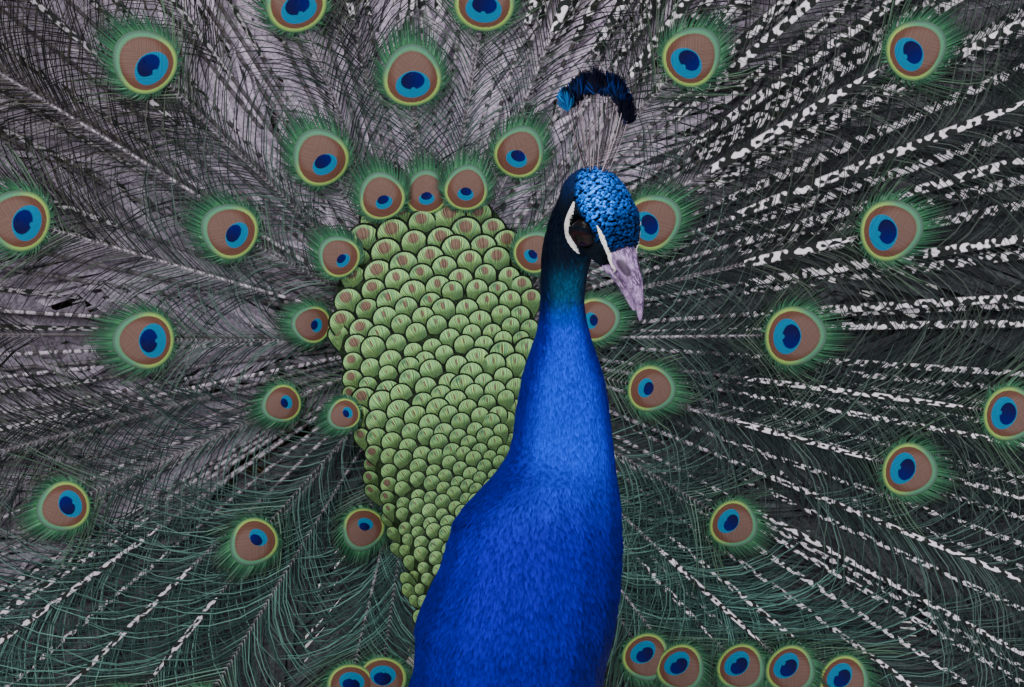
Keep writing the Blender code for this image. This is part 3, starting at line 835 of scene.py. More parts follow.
def lay_coat(name, form, found, unwrap, material, rise, seed, jitter=0.12):
    """A coat piece: one vane on each found place, along the lie, its tip raised by rise."""
    rng = np.random.RandomState(seed)
    normal = found["normal"]
    lie = found["lie"] - normal * (found["lie"] * normal).sum(axis=1, keepdims=True)
    lie = unit(lie)
    count = len(lie)
    side = np.cross(lie, normal)
    lie = unit(lie + side * rng.normal(0, jitter, (count, 1)) + normal * rise)
    length = found["length"] * rng.uniform(0.82, 1.15, count)
    width = found["width"] * rng.uniform(0.85, 1.15, count)
    root = found["root"] - normal * (0.06 * length)[:, None]
    made = copies(form, root, lie, normal, length, width, width)
    return add_copies(name, made, unwrap(found["root"], normal), material,
                      plumage=found["colour"], tint=rng.rand(count))


def vane_material(name, roughness, metallic, contrast, specular=0.5, sheen=0.0, root=1.0):
    """Plumage colour with barb lines along each vane and a little change between vanes."""
    look = Finish(name, roughness, metallic, specular, sheen)
    colour = look.mark("plumage", "Color")
    tint = look.mark("tint")
    across, along = look.map_place(VANE_MAP)
    off = abs(across - 0.5)
    slant = along * 9.0 + off * -9.0
    lines = noise(slant + tint * 40.0, 2.4, 1.0, "1D")
    bright = tint * contrast + (1.0 - contrast / 2)
    shade = bright * spread(lines, 0.3, 0.7, 0.66, 1.25)
    # Painted shade: each vane is darker towards its root, where the vanes above cover it; root sets how dark.
    shade = shade * spread(along, 0.35, 0.8, root, 1.0)
    look.colour(mix(1.0, colour, vector(shade, shade, shade), "MULTIPLY"))
    look.bump(lines, 0.35, 0.0004)
    return look.made


class PEACOCK_OT_blue_plumage(bpy.types.Operator):
    """Fine blue feathers of the neck and the breast"""
    bl_idname = "peacock.blue_plumage"
    bl_label = "Neck and Breast"

    def execute(self, context):
        form = vane_form(3, 4, (0.6, 1.0, 0.85, 0.15), 0.35)
        # root=0.55: painted shade at the roots of the blue vanes.
        blue = vane_material("blue_vanes", 0.45, 0.5, 0.55, 0.12, root=0.55)
        parts = (("neck_plumage", ("neck_upper", "neck_lower"), 0.0021),
                 ("breast_plumage", ("breast",), 0.0027))
        for seed, (name, owners, spacing) in enumerate(parts, 11):
            found = scatter(owners, spacing, seed)
            settle(lay_coat(name, form, found, round_map, blue, 0.085, seed), "blue_plumage")
        return {"FINISHED"}


class PEACOCK_OT_head_plumage(bpy.types.Operator):
    """Scale-like feathers of the crown and the velvet of the face"""
    bl_idname = "peacock.head_plumage"
    bl_label = "Crown and Face"

    def execute(self, context):
        form = vane_form(3, 4, (0.7, 1.0, 0.9, 0.35), 0.5)
        # root=0.0 paints the crown's vanes black at their roots: the painted shade in the gaps between them.
        crown = vane_material("crown_scales", 0.36, 0.6, 1.6, 0.1, root=0.0)
        velvet = vane_material("face_velvet", 0.6, 0.3, 0.6, 0.15, root=0.6)

        def on_crown(points, normals):
            local = in_head(points)
            ragged = 0.0012 * np.sin(points @ np.array((5200.0, 4100.0, 6300.0)))
            return local[:, 2] + 0.25 * local[:, 1] + ragged > 0.0108

        def on_face(points, normals):
            local = in_head(points)
            eye = np.linalg.norm(np.abs(local) * (1, 0, 0) + local * (0, 1, 1) - (0.015, 0.0098, 0.002),
                                 axis=1)
            clear = ~on_crown(points, normals) & (eye > 0.0085)
            local[:, 0] = -np.abs(local[:, 0])
            for row in (*smooth_rows(LORE_STRIPE, 3), *smooth_rows(CHEEK_CRESCENT, 3)):
                clear &= np.linalg.norm(local - row[:3], axis=1) > row[3] + 0.0002
            return clear

        coats = (("crown_plumage", 0.0019, on_crown, 0.003, 0.0015, crown, 0.34, 0.35),
                 ("face_plumage", 0.0011, on_face, 0.0026, 0.0006, velvet, 0.16, 0.15))
        for seed, (name, spacing, keep, length, width, finish, rise, jitter) in enumerate(coats, 21):
            found = scatter(("head",), spacing, seed, keep)
            found["length"][:], found["width"][:] = length, width
            settle(lay_coat(name, form, found, head_map, finish, rise, seed, jitter), "blue_plumage")
        return {"FINISHED"}


class PEACOCK_OT_under_plumage(bpy.types.Operator):
    """Dark belly, buff thighs and the loose down under the tail"""
    bl_idname = "peacock.under_plumage"
    bl_label = "Belly, Thighs and Down"

    def execute(self, context):
        form = vane_form(3, 5, (0.5, 1.0, 0.95, 0.7, 0.15), 0.3)
        plume = vane_form(3, 5, (0.5, 1.0, 0.8, 0.5, 0.08), 0.5, curl=0.25)
        belly = vane_material("belly_vanes", 0.5, 0.35, 0.6)
        buff = vane_material("thigh_vanes", 0.8, 0.0, 0.7, 0.2)
        down = vane_material("tail_down", 0.9, 0.0, 0.5, 0.15, sheen=0.3)
        coats = (("belly_plumage", ("trunk",), 0.0068, form, long_map, belly, 0.1, 0.12),
                 ("thigh_plumage", ("thigh_left", "thigh_right"), 0.0042, form, round_map, buff, 0.13, 0.2),
                 ("tail_down", ("tail_root",), 0.0036, plume, round_map, down, 0.35, 0.45))
        for seed, (name, owners, spacing, vane, unwrap, finish, rise, jitter) in enumerate(coats, 31):
            found = scatter(owners, spacing, seed)
            settle(lay_coat(name, vane, found, unwrap, finish, rise, seed, jitter), "dark_down")
        return {"FINISHED"}


# ---- face --------------------------------------------------------------------------------

def on_skin(point):
    """Nearest place on the head and its bill, and the normal there."""
    if "face" not in SKIN:
        corners, faces = [SKIN["points"]], [SKIN["triangles"]]
        for name in ("bill_upper", "bill_lower"):
            points, _, triangles = mesh_arrays(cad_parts[name].data)
            faces.append(triangles + sum(map(len, corners)))
            corners.append(points)
        SKIN["face"] = BVHTree.FromPolygons(np.concatenate(corners).tolist(), np.concatenate(faces).tolist())
    place, normal, _, _ = SKIN["face"].find_nearest(Vector(point))
    return np.array(place), np.array(normal)


def smooth_rows(rows, steps):
    """More rows on a cubic through the given ones."""
    rows = np.asarray(rows, float)
    slopes = np.gradient(rows, axis=0)
    found = []
    for low in range(len(rows) - 1):
        for step in range(steps):
            t = step / steps
            found.append((2 * t**3 - 3 * t**2 + 1) * rows[low] + (t**3 - 2 * t**2 + t) * slopes[low]
                         + (3 * t**2 - 2 * t**3) * rows[low + 1] + (t**3 - t**2) * slopes[low + 1])
    return np.array(found + [rows[-1]])


def grid_faces(rows, columns, closed=False, start=0):
    faces = []
    for row in range(rows - 1):
        for col in range(columns if closed else columns - 1):
            after = (col + 1) % columns
            faces.append((start + row * columns + col, start + row * columns + after,
                          start + (row + 1) * columns + after, start + (row + 1) * columns + col))
    return faces


class PEACOCK_OT_bare_skin(bpy.types.Operator):
    """White bare skin: a stripe before each eye and a crescent behind it"""
    bl_idname = "peacock.bare_skin"
    bl_label = "Bare Skin"

    STEPS = 5
    ACROSS = 7
    HEIGHT = 0.0013
    WIDER = 1                      # side of the head where the patches sit a little wider

    def execute(self, context):
        points, faces, maps = [], [], []
        for hand in (1, -1):
            for rows in (LORE_STRIPE, CHEEK_CRESCENT):
                patch = self.patch(smooth_rows(rows, self.STEPS), hand)
                order = grid_faces(len(patch), self.ACROSS, start=sum(map(len, points)))
                faces += [face[::-1] if hand < 0 else face for face in order]
                points.append(patch.reshape(-1, 3))
                grid = np.meshgrid(np.linspace(0, 1, self.ACROSS), np.linspace(0, 1, len(patch)))
                maps.append(np.stack(grid, axis=-1).reshape(-1, 2))
        made = add_piece("bare_skin", np.concatenate(points), faces, self.material(context),
                         {"patch": np.concatenate(maps)})
        apply_modifier(made, "SUBSURF", levels=1, render_levels=1)
        settle(made, "blue_plumage")
        return {"FINISHED"}

    def patch(self, rows, hand):
        middle = rows[:, :3] * (-hand, 1, 1)
        if hand == self.WIDER:
            middle = middle + (0.0022 * hand, 0, -0.0016)
        places = from_head(middle)
        ahead = unit(np.gradient(places, axis=0))
        normals = np.array([on_skin(place)[1] for place in places])
        for _ in range(3):
            normals[1:-1] = unit(normals[1:-1] * 2 + normals[:-2] + normals[2:])
        grid = []
        for index, (place, half) in enumerate(zip(places, rows[:, 3])):
            normal = normals[index]
            side = unit(np.cross(ahead[index], normal))
            middle_hit = on_skin(place)[0]
            row = []
            for share in np.linspace(-1, 1, self.ACROSS):
                height = self.HEIGHT * (1 - share**4) - 0.0006 * share**4
                spot = middle_hit + side * (share * half * (1 + 0.16 * np.sin(2.3 * index + 2 * share)))
                row.append(0.5 * (on_skin(spot)[0] + spot) + normal * height)
            grid.append(row)
        return np.array(grid)

    def material(self, context):
        look = Finish("bare_white_skin", 0.55, specular=0.35)
        place = look.place()
        pores = noise(place, 1500.0, 2.0)
        blotch = noise(place, 240.0, 2.0)
        white = tuple(context.scene.peacock_colours.bare_skin)
        cream = (white[0] * 0.94, white[1] * 0.9, white[2] * 0.78)
        colour = mix(spread(blotch, 0.4, 0.65), white, cream)
        look.colour(mix(spread(pores, 0.28, 0.4, 0.3, 0.0), colour, (0.3, 0.29, 0.33)))
        look.bump(pores, 0.6, 0.0003)
        return look.made


class PEACOCK_OT_eyes(bpy.types.Operator):
    """Eyeballs with iris and pupil, and the lids round them"""
    bl_idname = "peacock.eyes"
    bl_label = "Eyes"

    AROUND = 36
    # Lid, from its edge outwards: turn from the eye's axis, distance from its centre.
    LID = ((-3.0, 0.00835), (-1.5, 0.00875), (1.5, 0.00905), (5.5, 0.00905), (10.0, 0.00885),
           (16.0, 0.00865), (24.0, 0.00830), (34.0, 0.00760))
    TURN = radians(26)             # of the opening's long axis, up from the bill's direction
    OPENING = (54.0, 33.0)         # half length and half height of the opening, degrees

    def execute(self, context):
        ball_finish, lid_finish = self.ball_material(), self.lid_material()
        lids = []
        for name, hand in (("eye_left", 1), ("eye_right", -1)):
            centre = middle_of(name)
            outward = HEAD.to_3x3() @ Vector((hand * 1.0, -0.6, 0.08)).normalized()
            ahead = HEAD.to_3x3() @ Vector((0, -1, 0))
            ahead = (ahead - outward * ahead.dot(outward)).normalized()
            below = outward.cross(ahead) * hand
            ahead, below = (ahead * cos(self.TURN) - below * sin(self.TURN),
                            below * cos(self.TURN) + ahead * sin(self.TURN))
            select()
            bpy.ops.mesh.primitive_uv_sphere_add(segments=32, ring_count=24, radius=EYE_RADIUS)
            ball = bpy.context.object
            ball.name = f"{name}_ball"
            for vert in ball.data.vertices:
                cap = max(vert.co.z / EYE_RADIUS, 0.0)
                vert.co.z += 0.0004 * max(cap - 0.8, 0.0) / 0.2
            turn = Matrix((ahead, outward.cross(ahead), outward)).transposed().to_4x4()
            ball.matrix_world = Matrix.Translation(centre) @ turn
            bpy.ops.object.transform_apply()
            bpy.ops.object.shade_smooth()
            ball.data.materials.append(ball_finish)
            settle(ball, "eye_brown", name)
            lids.append(self.lid(name, *map(np.array, (centre, outward, ahead, below)), hand, lid_finish))
        made = join_pieces("eyelids", lids)
        apply_modifier(made, "SUBSURF", levels=1, render_levels=1)
        settle(made, "blue_plumage")
        return {"FINISHED"}

    def lid(self, name, centre, outward, ahead, below, hand, material):
        rows = []
        for widen, reach in self.LID:
            row = []
            for step in range(self.AROUND):
                turn = 2 * pi * step / self.AROUND
                x, z = cos(turn), sin(turn)
                half = 1 / np.hypot(x / self.OPENING[0], z / self.OPENING[1])
                half += 3.0 * abs(x)**6 - (3.0 if z < 0 else 0.0) * abs(z)**2
                angle = radians(half + widen)
                row.append(centre + outward * (cos(angle) * reach)
                           + (ahead * x + below * z) * (sin(angle) * reach))
            rows.append(row)
        faces = grid_faces(len(rows), self.AROUND, closed=True)
        if hand > 0:
            faces = [face[::-1] for face in faces]
        points = np.array(rows).reshape(-1, 3)
        turn = np.tile(np.linspace(0, 1, self.AROUND), len(rows))
        depth = np.repeat(np.linspace(0, 1, len(rows)), self.AROUND)
        return add_piece(f"{name}_lid", points, faces, material, {"lid": np.stack([turn, depth], axis=1)})

    def ball_material(self):
        look = Finish("eyeball", 0.16, specular=0.12, coat=0.05)
        across, height = look.map_place("UVMap")
        ring = 1.0 - height
        fibres = noise(across, 90.0, 2.0, "1D")
        iris = mix(fibres, (0.006, 0.0024, 0.003), (0.019, 0.0076, 0.009))
        colour = mix(spread(ring, 0.1, 0.108), (0.0015, 0.0015, 0.002), iris)
        colour = mix(spread(ring, 0.205, 0.225), colour, (0.006, 0.004, 0.005))
        look.colour(colour)
        return look.made

    def lid_material(self):
        look = Finish("eyelid_skin", 0.55, specular=0.04)
        _, depth = look.map_place("lid")
        grain = noise(look.place(), 1600.0, 3.0)
        rim = mix(spread(depth, 0.1, 0.42), (0.03, 0.013, 0.02), (0.002, 0.004, 0.009))
        look.colour(mix(spread(grain, 0.35, 0.7), rim, (0.0015, 0.003, 0.006)))
        wrinkles = grain + calc("SINE", depth * 60.0)
        look.bump(wrinkles, 0.5, 0.0002)
        return look.made


class PEACOCK_OT_bill(bpy.types.Operator):
    """Horn bill with its culmen, the covers of the nostrils and painted shade in their openings"""
    bl_idname = "peacock.bill"
    bl_label = "Bill"

    def execute(self, context):
        horn = self.material()
        upper = draw_out("bill_upper_horn", smooth_rows(UPPER_BILL, 3), 24, HEAD, 0.62)
        apply_modifier(upper, "SUBSURF", levels=2, render_levels=2)
        self.carve(upper)
        lower = draw_out("bill_lower_horn", smooth_rows(LOWER_BILL, 3), 20, HEAD)
        apply_modifier(lower, "SUBSURF", levels=1, render_levels=1)
        for piece, node in ((upper, "bill_upper"), (lower, "bill_lower")):
            piece.data.shade_smooth()
            piece.data.materials.append(horn)
            settle(piece, "bill_horn", node)
        return {"FINISHED"}

    def carve(self, upper):
        """Raises the nostril covers and the culmen, and marks the slit beside each cover, where the material
        paints the shade of the opening.
        """
        points, normals, _ = mesh_arrays(upper.data)
        local = in_head(points)
        along = (local[:, 1] - NOSTRIL[0]) / NOSTRIL_HALF[0]
        across = (local[:, 2] - NOSTRIL[1] + 0.1 * (local[:, 1] - NOSTRIL[0])) / NOSTRIL_HALF[1]
        side = stepped(np.abs(local[:, 0]), 0.002, 0.0035)
        slit = np.exp(-along**4 - across**2) * side
        cover = np.exp(-(along / 1.25)**4 - (across - 1.7)**2 * 0.8) * side
        ridge = np.exp(-(local[:, 0] / 0.0011)**2) * stepped(normals @ np.array(HEAD)[:3, 2], 0.3, 0.8)
        move = 0.0011 * cover + 0.0004 * ridge
        points = points + normals * move[:, None]
        set_points(upper.data, points)
        add_mark(upper.data, "slit", slit)
        upper.data.update()

    def material(self):
        look = Finish("bill_horn_finish", 0.42, specular=0.3)
        place = look.place()
        slit = look.mark("slit")
        streak = new_node("ShaderNodeMapping", (place, HEAD.to_euler(), (0.16, 1.0, 0.16)),
                          ("Vector", "Rotation", "Scale"), vector_type="TEXTURE")
        grain = noise(streak, 170.0, 4.0)
        cloud = noise(place, 130.0, 2.0)
        colour = mix(spread(cloud, 0.35, 0.65), (0.275, 0.172, 0.345), (0.072, 0.043, 0.094))
        # The streaky grain of the horn, with its pale streaks painted as highlights.
        colour = mix(spread(grain, 0.45, 0.75), colour, (0.53, 0.34, 0.7))
        # Painted shade: the nostril openings are painted dark.
        look.colour(mix(spread(slit, 0.28, 0.8, 0.0, 0.9), colour, (0.022, 0.013, 0.029)))
        look.bump(grain, 0.35, 0.0003)
        return look.made


class PEACOCK_OT_crest(bpy.types.Operator):
    """Crest: bare shafts on the crown, each with a dark spatulate tip"""
    bl_idname = "peacock.crest"
    bl_label = "Crest"

    TIP_BARBS = 72
    ROWS = 4
    BASE = 0.0066                  # half width of the row of shafts on the crown

    def execute(self, context):
        rng = np.random.RandomState(41)
        count = context.scene.peacock_sizes.crest_feathers
        place = np.array(self.place())
        angles, heights = np.array(CREST_ARC).T
        shafts, tips, ends = [], [], []
        for index in range(count):
            share = 2 * (index + 0.5) / count - 1
            degree = np.interp(share, (-1, 1), CREST_SHAFTS) + rng.normal(0, 0.8)
            top = CREST_HEIGHT * np.interp(degree, angles, heights) - rng.uniform(0.0065, 0.0105)
            shafts.append(self.shaft_path(radians(degree), top, share, rng))
            tips.append(self.tip(shafts[-1], share, rng))
            ends.append(np.full(self.TIP_BARBS, float(stepped(np.array(-share), 0.84, 1.0))))
        to_world = lambda points: np.asarray(points) @ place[:3, :3].T + place[:3, 3]
        settle(self.shaft_piece([to_world(path) for path in shafts]), "crest_plumes", "crest")
        spine = to_world(np.concatenate([tip[0] for tip in tips]))
        side = np.concatenate([tip[1] for tip in tips]) @ place[:3, :3].T
        half = np.concatenate([tip[2] for tip in tips])
        settle(self.tip_piece(spine, side, half, np.concatenate(ends)), "crest_plumes")
        return {"FINISHED"}

    def place(self):
        forward, up = CREST_ROOT
        turn = Matrix.Rotation(-CREST_TURN, 4, "Z") @ Matrix.Rotation(-CREST_LEAN, 4, "X")
        turn = turn @ Matrix.Rotation(-CREST_TILT, 4, "Y")
        return Matrix.Translation(HEAD @ Vector((0, -forward, up))) @ turn

    def shaft_path(self, angle, top, share, rng):
        steps = np.linspace(-0.07, 1, 7)[:, None]
        base = np.array((self.BASE * share, rng.uniform(-0.003, 0.003), 0.0))
        end = np.array((top * np.sin(angle), rng.uniform(-0.002, 0.002), top * np.cos(angle)))
        bow = np.array((0.0016 * share + rng.normal(0, 0.0006), rng.normal(0, 0.0006), 0.0))
        return base + (end - base) * steps + bow * np.sin(pi * np.maximum(steps, 0))

    def tip(self, path, share, rng):
        """Barbs at the end of one shaft, in a wide fan."""
        ahead = unit(path[-1] - path[-2])
        side = np.array((ahead[2], 0, -ahead[0]))
        turns = rng.uniform(-1.15, 1.15, self.TIP_BARBS)
        roots = path[-1] - ahead * (0.0035 * rng.rand(self.TIP_BARBS, 1))
        length = (0.0118 - 0.0022 * max(share, 0)) * (1 - 0.22 * np.abs(turns))
        length = length * rng.uniform(0.88, 1.02, self.TIP_BARBS)
        out = rng.uniform(-0.35, 0.35, (self.TIP_BARBS, 1)) * np.array((0, 1, 0))
        aim = unit(ahead * np.cos(turns)[:, None] + side * np.sin(turns)[:, None] + out)
        steps = np.linspace(0, 1, self.ROWS)
        spine = roots[:, None] + aim[:, None] * (length[:, None] * steps)[:, :, None]
        inward = 0.3 * (np.sin(turns) * length)[:, None] * steps**2
        spine = spine - side * inward[:, :, None]
        across = unit(np.cross(aim, rng.normal(0, 0.35, (self.TIP_BARBS, 3)) + (0, 1, 0)))
        half = np.interp(steps, (0, 0.4, 1), (0.0003, 0.00066, 0.0003))
        return spine, across, np.tile(half, (self.TIP_BARBS, 1))

    def shaft_piece(self, paths):
        points, faces = [], []
        for path in paths:
            made, order = tube(path, np.linspace(0.00027, 0.0002, len(path)), 5)
            faces.append(order + sum(map(len, points)))
            points.append(made)
        look = Finish("crest_shafts", 0.5, specular=0.2)
        pale = look.mark("pale")
        look.colour(mix(pale, (0.02, 0.013, 0.022), (0.42, 0.33, 0.38)))
        pale = np.random.RandomState(43).rand(len(paths))**2
        return add_piece("crest_shafts", np.concatenate(points), np.concatenate(faces), look.made,
                         None, {"pale": np.repeat(pale, len(points[0]))})

    def tip_piece(self, spine, side, half, ends):
        rng = np.random.RandomState(42)
        look = Finish("crest_tips", 0.5, 0.3, 0.1)
        tint = look.mark("tint")
        end = look.mark("end")
        cloud = noise(look.place(), 95.0, 1.0)
        # Painted glints: noise lays dark blue patches over the dark tips, in place of the tips' sheen.
        blue = spread(tint, 0.45, 0.95) * spread(cloud, 0.5, 0.68)
        colour = mix(blue, (0.0012, 0.0018, 0.01), (0.002, 0.02, 0.14))
        bright = mix(tint, (0.002, 0.03, 0.16), (0.01, 0.22, 0.6))
        look.colour(mix(end, colour, bright))
        return add_copies("crest_tips", ribbons(spine, side, half), front_map(spine[:, 0]), look.made,
                          tint=rng.rand(len(spine)), end=ends)


def tube(path, radii, around):
    """Points and faces of a thin open tube along a path."""
    path = np.asarray(path, float)
    ahead = unit(np.gradient(path, axis=0))
    level = np.array((0.31, 0.94, 0.12))
    side = unit(np.cross(ahead, level))
    up = np.cross(side, ahead)
    turns = np.linspace(0, 2 * pi, around, endpoint=False)
    ring = side[:, None] * np.cos(turns)[None, :, None] + up[:, None] * np.sin(turns)[None, :, None]
    points = path[:, None] + ring * np.asarray(radii)[:, None, None]
    return points.reshape(-1, 3), np.array(grid_faces(len(path), around, closed=True))


def ribbons(spine, side, half):
    """Points, faces and local map of many ribbons: spine (N, R, 3), side (N, 3), half (N, R)."""
    count, rows = half.shape
    if side.ndim == 2:
        side = side[:, None]
    offset = side * half[:, :, None]
    points = np.stack([spine - offset, spine + offset], axis=2)
    faces = repeated(np.array(grid_faces(rows, 2)), count, rows * 2)
    local = np.stack(np.meshgrid((0.0, 1.0), np.linspace(0, 1, rows)), axis=-1).reshape(-1, 2)
    return points.reshape(-1, 3), faces, np.tile(local, (count, 1))


# ---- shield of scales ----------------------------------------------------------------------

def skin_from_front(x, z):
    """First hit on the skin of a line to the rear that starts behind the neck."""
    start = Vector((x, 0.5 * max(z - 0.4, 0.0) - 0.055, z))
    return SKIN["tree"].ray_cast(start, Vector((0, 1, 0)), 0.3)


class PEACOCK_OT_shield(bpy.types.Operator):
    """Shield of overlapping scale feathers from the back up to the train"""
    bl_idname = "peacock.shield"
    bl_label = "Back Scales"

    REACH = 0.330                  # of the shield from the middle of its rows
    CLOSE = (0.0055, 0.0310, 0.10) # between rows, its growth with distance, and where that starts
    ASIDE = 1.85                   # between neighbours in a row, as a share of that
    LADDER = 1.25                  # step from one number of scales in a ring to the next
    TOP = (-0.006, 0.600, 0.076, 0.092)   # x and z of the rounded top's middle, its half width and height
    OVERHANG = (0.0, 0.003, 0.006)

    def execute(self, context):
        rng = np.random.RandomState(51)
        size = context.scene.peacock_sizes.scale_size / SCALE_SIZE
        roots, lie, normals, spacing, rim = [], [], [], [], []
        for out, reach, gap, aside in self.rows(rng):
            found = self.place(out, reach)
            if found is None:
                continue
            x, z, wide, high = self.TOP
            tip = SHIELD_CENTRE + out * (reach + gap)
            if tip[1] > z and np.hypot((tip[0] - x) / wide, (tip[1] - z) / high) > 1:
                continue
            roots.append(found[0] + found[1] * 0.0015)
            normals.append(unit(found[1] + (0, -0.7, 0)))
            lie.append(np.array((out[0], 0, out[1])))
            spacing.append(aside)
            rim.append(any(self.surface(*(SHIELD_CENTRE + out * (reach + gap * more))) is None
                           for more in (1.6, 3.6)))
        roots, lie, normals, spacing, rim = map(np.array, (roots, lie, normals, spacing, rim))
        count = len(roots)
        grown = np.maximum(stepped(roots[:, 2], 0.5, 0.69), rim * stepped(roots[:, 2], 0.4, 0.52))
        lie = unit(lie - normals * (lie * normals).sum(axis=1, keepdims=True))
        lie = unit(lie + normals * rng.uniform(0.2, 0.25, (count, 1)) + rng.normal(0, 0.035, (count, 3)))
        width = size * spacing * 0.57 * rng.uniform(0.88, 1.1, count)
        length = width * 2.4
        share = np.linspace(0, 1, 15)
        outline = np.where(share < 0.6, 0.55 + 0.45 * np.sin(np.minimum(share / 0.6, 1) * pi / 2),
                           np.sqrt(1 - (np.maximum(share - 0.6, 0) / 0.405)**2))
        form = vane_form(9, 15, outline, 0.05, curl=0.02)
        start = roots - lie * (length * 0.62)[:, None]
        # The dim mark is painted shade: the scales are darker towards the bottom of the shield.
        shield = add_copies("back_scales", copies(form, start, lie, normals, length, width), front_map(roots),
                            self.material(context), 0.022, grown=grown, tint=rng.rand(count),
                            dim=0.66 + 0.34 * stepped(roots[:, 2], 0.49, 0.57))
        settle(shield, "back_scales")
        under = vane_form(3, 5, (0.5, 1.0, 1.0, 0.8, 0.3), 0.06)
        green = vane_material("back_vanes", 0.5, 0.3, 0.5)
        found = scatter(("back",), 0.0062, 52, lambda points, normals: normals[:, 1] > -0.12)
        found["lie"][:] = (0.0, 1.0, -0.15)
        settle(lay_coat("back_plumage", under, found, round_map, green, 0.02, 52), "back_scales")
        return {"FINISHED"}

    def rows(self, rng):
        """Direction and distance from the middle of each scale, in staggered rings."""
        reach, ring = 0.020, 0
        while reach < self.REACH:
            gap = self.CLOSE[0] + self.CLOSE[1] * max(reach - self.CLOSE[2], 0.0)
            count = log(2 * pi * reach / (gap * self.ASIDE)) / log(self.LADDER)
            count = int(round(self.LADDER**round(count)))
            for number in range(count):
                turn = 2 * pi * (number + 0.5 * (ring % 2)) / count + rng.normal(0, 0.25 / count)
                out = np.array((cos(turn), sin(turn)))
                if out[1] > -0.25:
                    yield out, reach + rng.normal(0, 0.14) * gap, gap, 2 * pi * reach / count
            reach += gap
            ring += 1

    def place(self, out, reach):
        """Where a scale stands: on the skin, or hanging over its edge by a little."""
        for over in self.OVERHANG:
            hit = self.surface(*SHIELD_CENTRE + out * (reach - over))
            if hit is not None:
                return hit[0] + np.array((out[0], 0.25, out[1])) * over, hit[1]
        return None

    def surface(self, x, z):
        """The skin in front of a place of the shield, or None off its edge."""
        place, normal, face, _ = skin_from_front(x, z)
        if place is None or normal.y > -0.14:
            return None
        owner = FLESH[SKIN["owners"][SKIN["triangles"][face][0]]]
        if owner not in ("back", "trunk"):
            return None
        return np.array(place), np.array(normal)

    def material(self, context):
        look = Finish("scale_feathers", 0.42, 0.25, 0.25)
        green = tuple(context.scene.peacock_colours.scale)
        across, along = look.map_place(VANE_MAP)
        grown = look.mark("grown")
        tint = look.mark("tint")
        off = abs(across - 0.5)
        left = 0.5 - across
        slant = (across - 0.5) / (along - 0.4 + 0.12)
        lines = noise(slant * 13.0 + tint * 90.0, 1.0, 1.0, "1D")
        dark = (green[0] * 0.16, green[1] * 0.24, green[2] * 0.34)
        yellow = (green[0] * 3.2, green[1] * 1.9, green[2] * 1.0)
        base = mix(spread(lines, 0.4, 0.48), dark, green)
        base = mix(spread(lines, 0.5, 0.6), base, yellow)
        teal = spread(tint, 0.25, 0.8) * spread(left, -0.08, 0.16)
        teal = teal * spread(along, 0.66, 0.9)
        base = mix(teal * 0.85, base, (0.006, 0.052, 0.05))
        large = spread(grown, 0.35, 1.0)
        wide = 0.045 + large * 0.19
        streak = off / wide
        ahead = (along - 0.75) / (0.11 + large * 0.06)
        radius = calc("SQRT", streak * streak + ahead * ahead)
        rose = mix(spread(lines, 0.35, 0.6), (0.07, 0.034, 0.028), (0.215, 0.098, 0.092))
        base = mix(spread(radius, 1.2, 0.7) * 0.92, base, rose)
        edge = self.edge(off, along)
        inner = spread(edge, 0.62, 0.84) * 0.5
        base = mix(inner, base, (0.26, 0.48, 0.19))
        # Painted shade: darker on the lower shield by dim, and towards each scale's root, where the scale
        # above overlaps it.
        dim = look.mark("dim")
        scale_shade = dim * spread(along, 0.5, 0.74, 0.4, 1.0)
        base = mix(1.0, base, vector(scale_shade, scale_shade, scale_shade), "MULTIPLY")
        rim = spread(edge, 0.85, 0.88)
        look.colour(mix(rim, base, (0.0012, 0.0025, 0.0015)))
        look.bump(lines, 0.5, 0.0005)
        return look.made

    def edge(self, off, along):
        """0 in the middle of a scale and 1 on its round outer edge."""
        ahead = calc("MAXIMUM", (along - 0.6) / 0.4, 0.0)
        squared = ahead * ahead
        aside = off * 2.0
        aside = aside * aside * (1.0 - squared)
        return calc("SQRT", squared + aside)


# ---- train ---------------------------------------------------------------------------------

def directions(angle):
    """Outwards and sideways on the fan laid flat."""
    out = np.stack([np.cos(angle), np.sin(angle)], axis=-1)
    return out, np.stack([-np.sin(angle), np.cos(angle)], axis=-1)


def on_fan(plane, back=0.0):
    """Flat places round the fan's middle put on its cup; back moves them away from the bird's front."""
    radius = np.hypot(plane[..., 0], plane[..., 1])
    y = FAN_CENTRE[1] - FAN_CUP * (radius / FAN_RADIUS)**2 + back
    return np.stack([plane[..., 0], y, FAN_CENTRE[2] + plane[..., 1]], axis=-1)


def cup_point(radius, angle, back=0.0):
    return on_fan(np.asarray(radius)[..., None] * directions(angle)[0], back)


def above_floor(points, gap=FLOOR_GAP):
    points[..., 2] = np.maximum(points[..., 2], gap)
    return points


def away_from_middle(points):
    """Places round the fan's middle, seen from in front, and their radius."""
    away = points[:, [0, 2]] - FAN_CENTRE[[0, 2]]
    return away, np.hypot(away[:, 0], away[:, 1])


def train_reach():
    """Furthest radius of the CAD's train at each whole degree."""
    reach = np.zeros(360)
    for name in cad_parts:
        if not name.startswith("train_") or name == "train_root":
            continue
        away, radius = away_from_middle(node_points(name))
        degrees = np.degrees(np.arctan2(away[:, 1], away[:, 0])).astype(int) % 360
        np.maximum.at(reach, degrees, radius)
    return np.array([max(reach[(degree + step) % 360] for step in range(-5, 6)) for degree in range(360)])


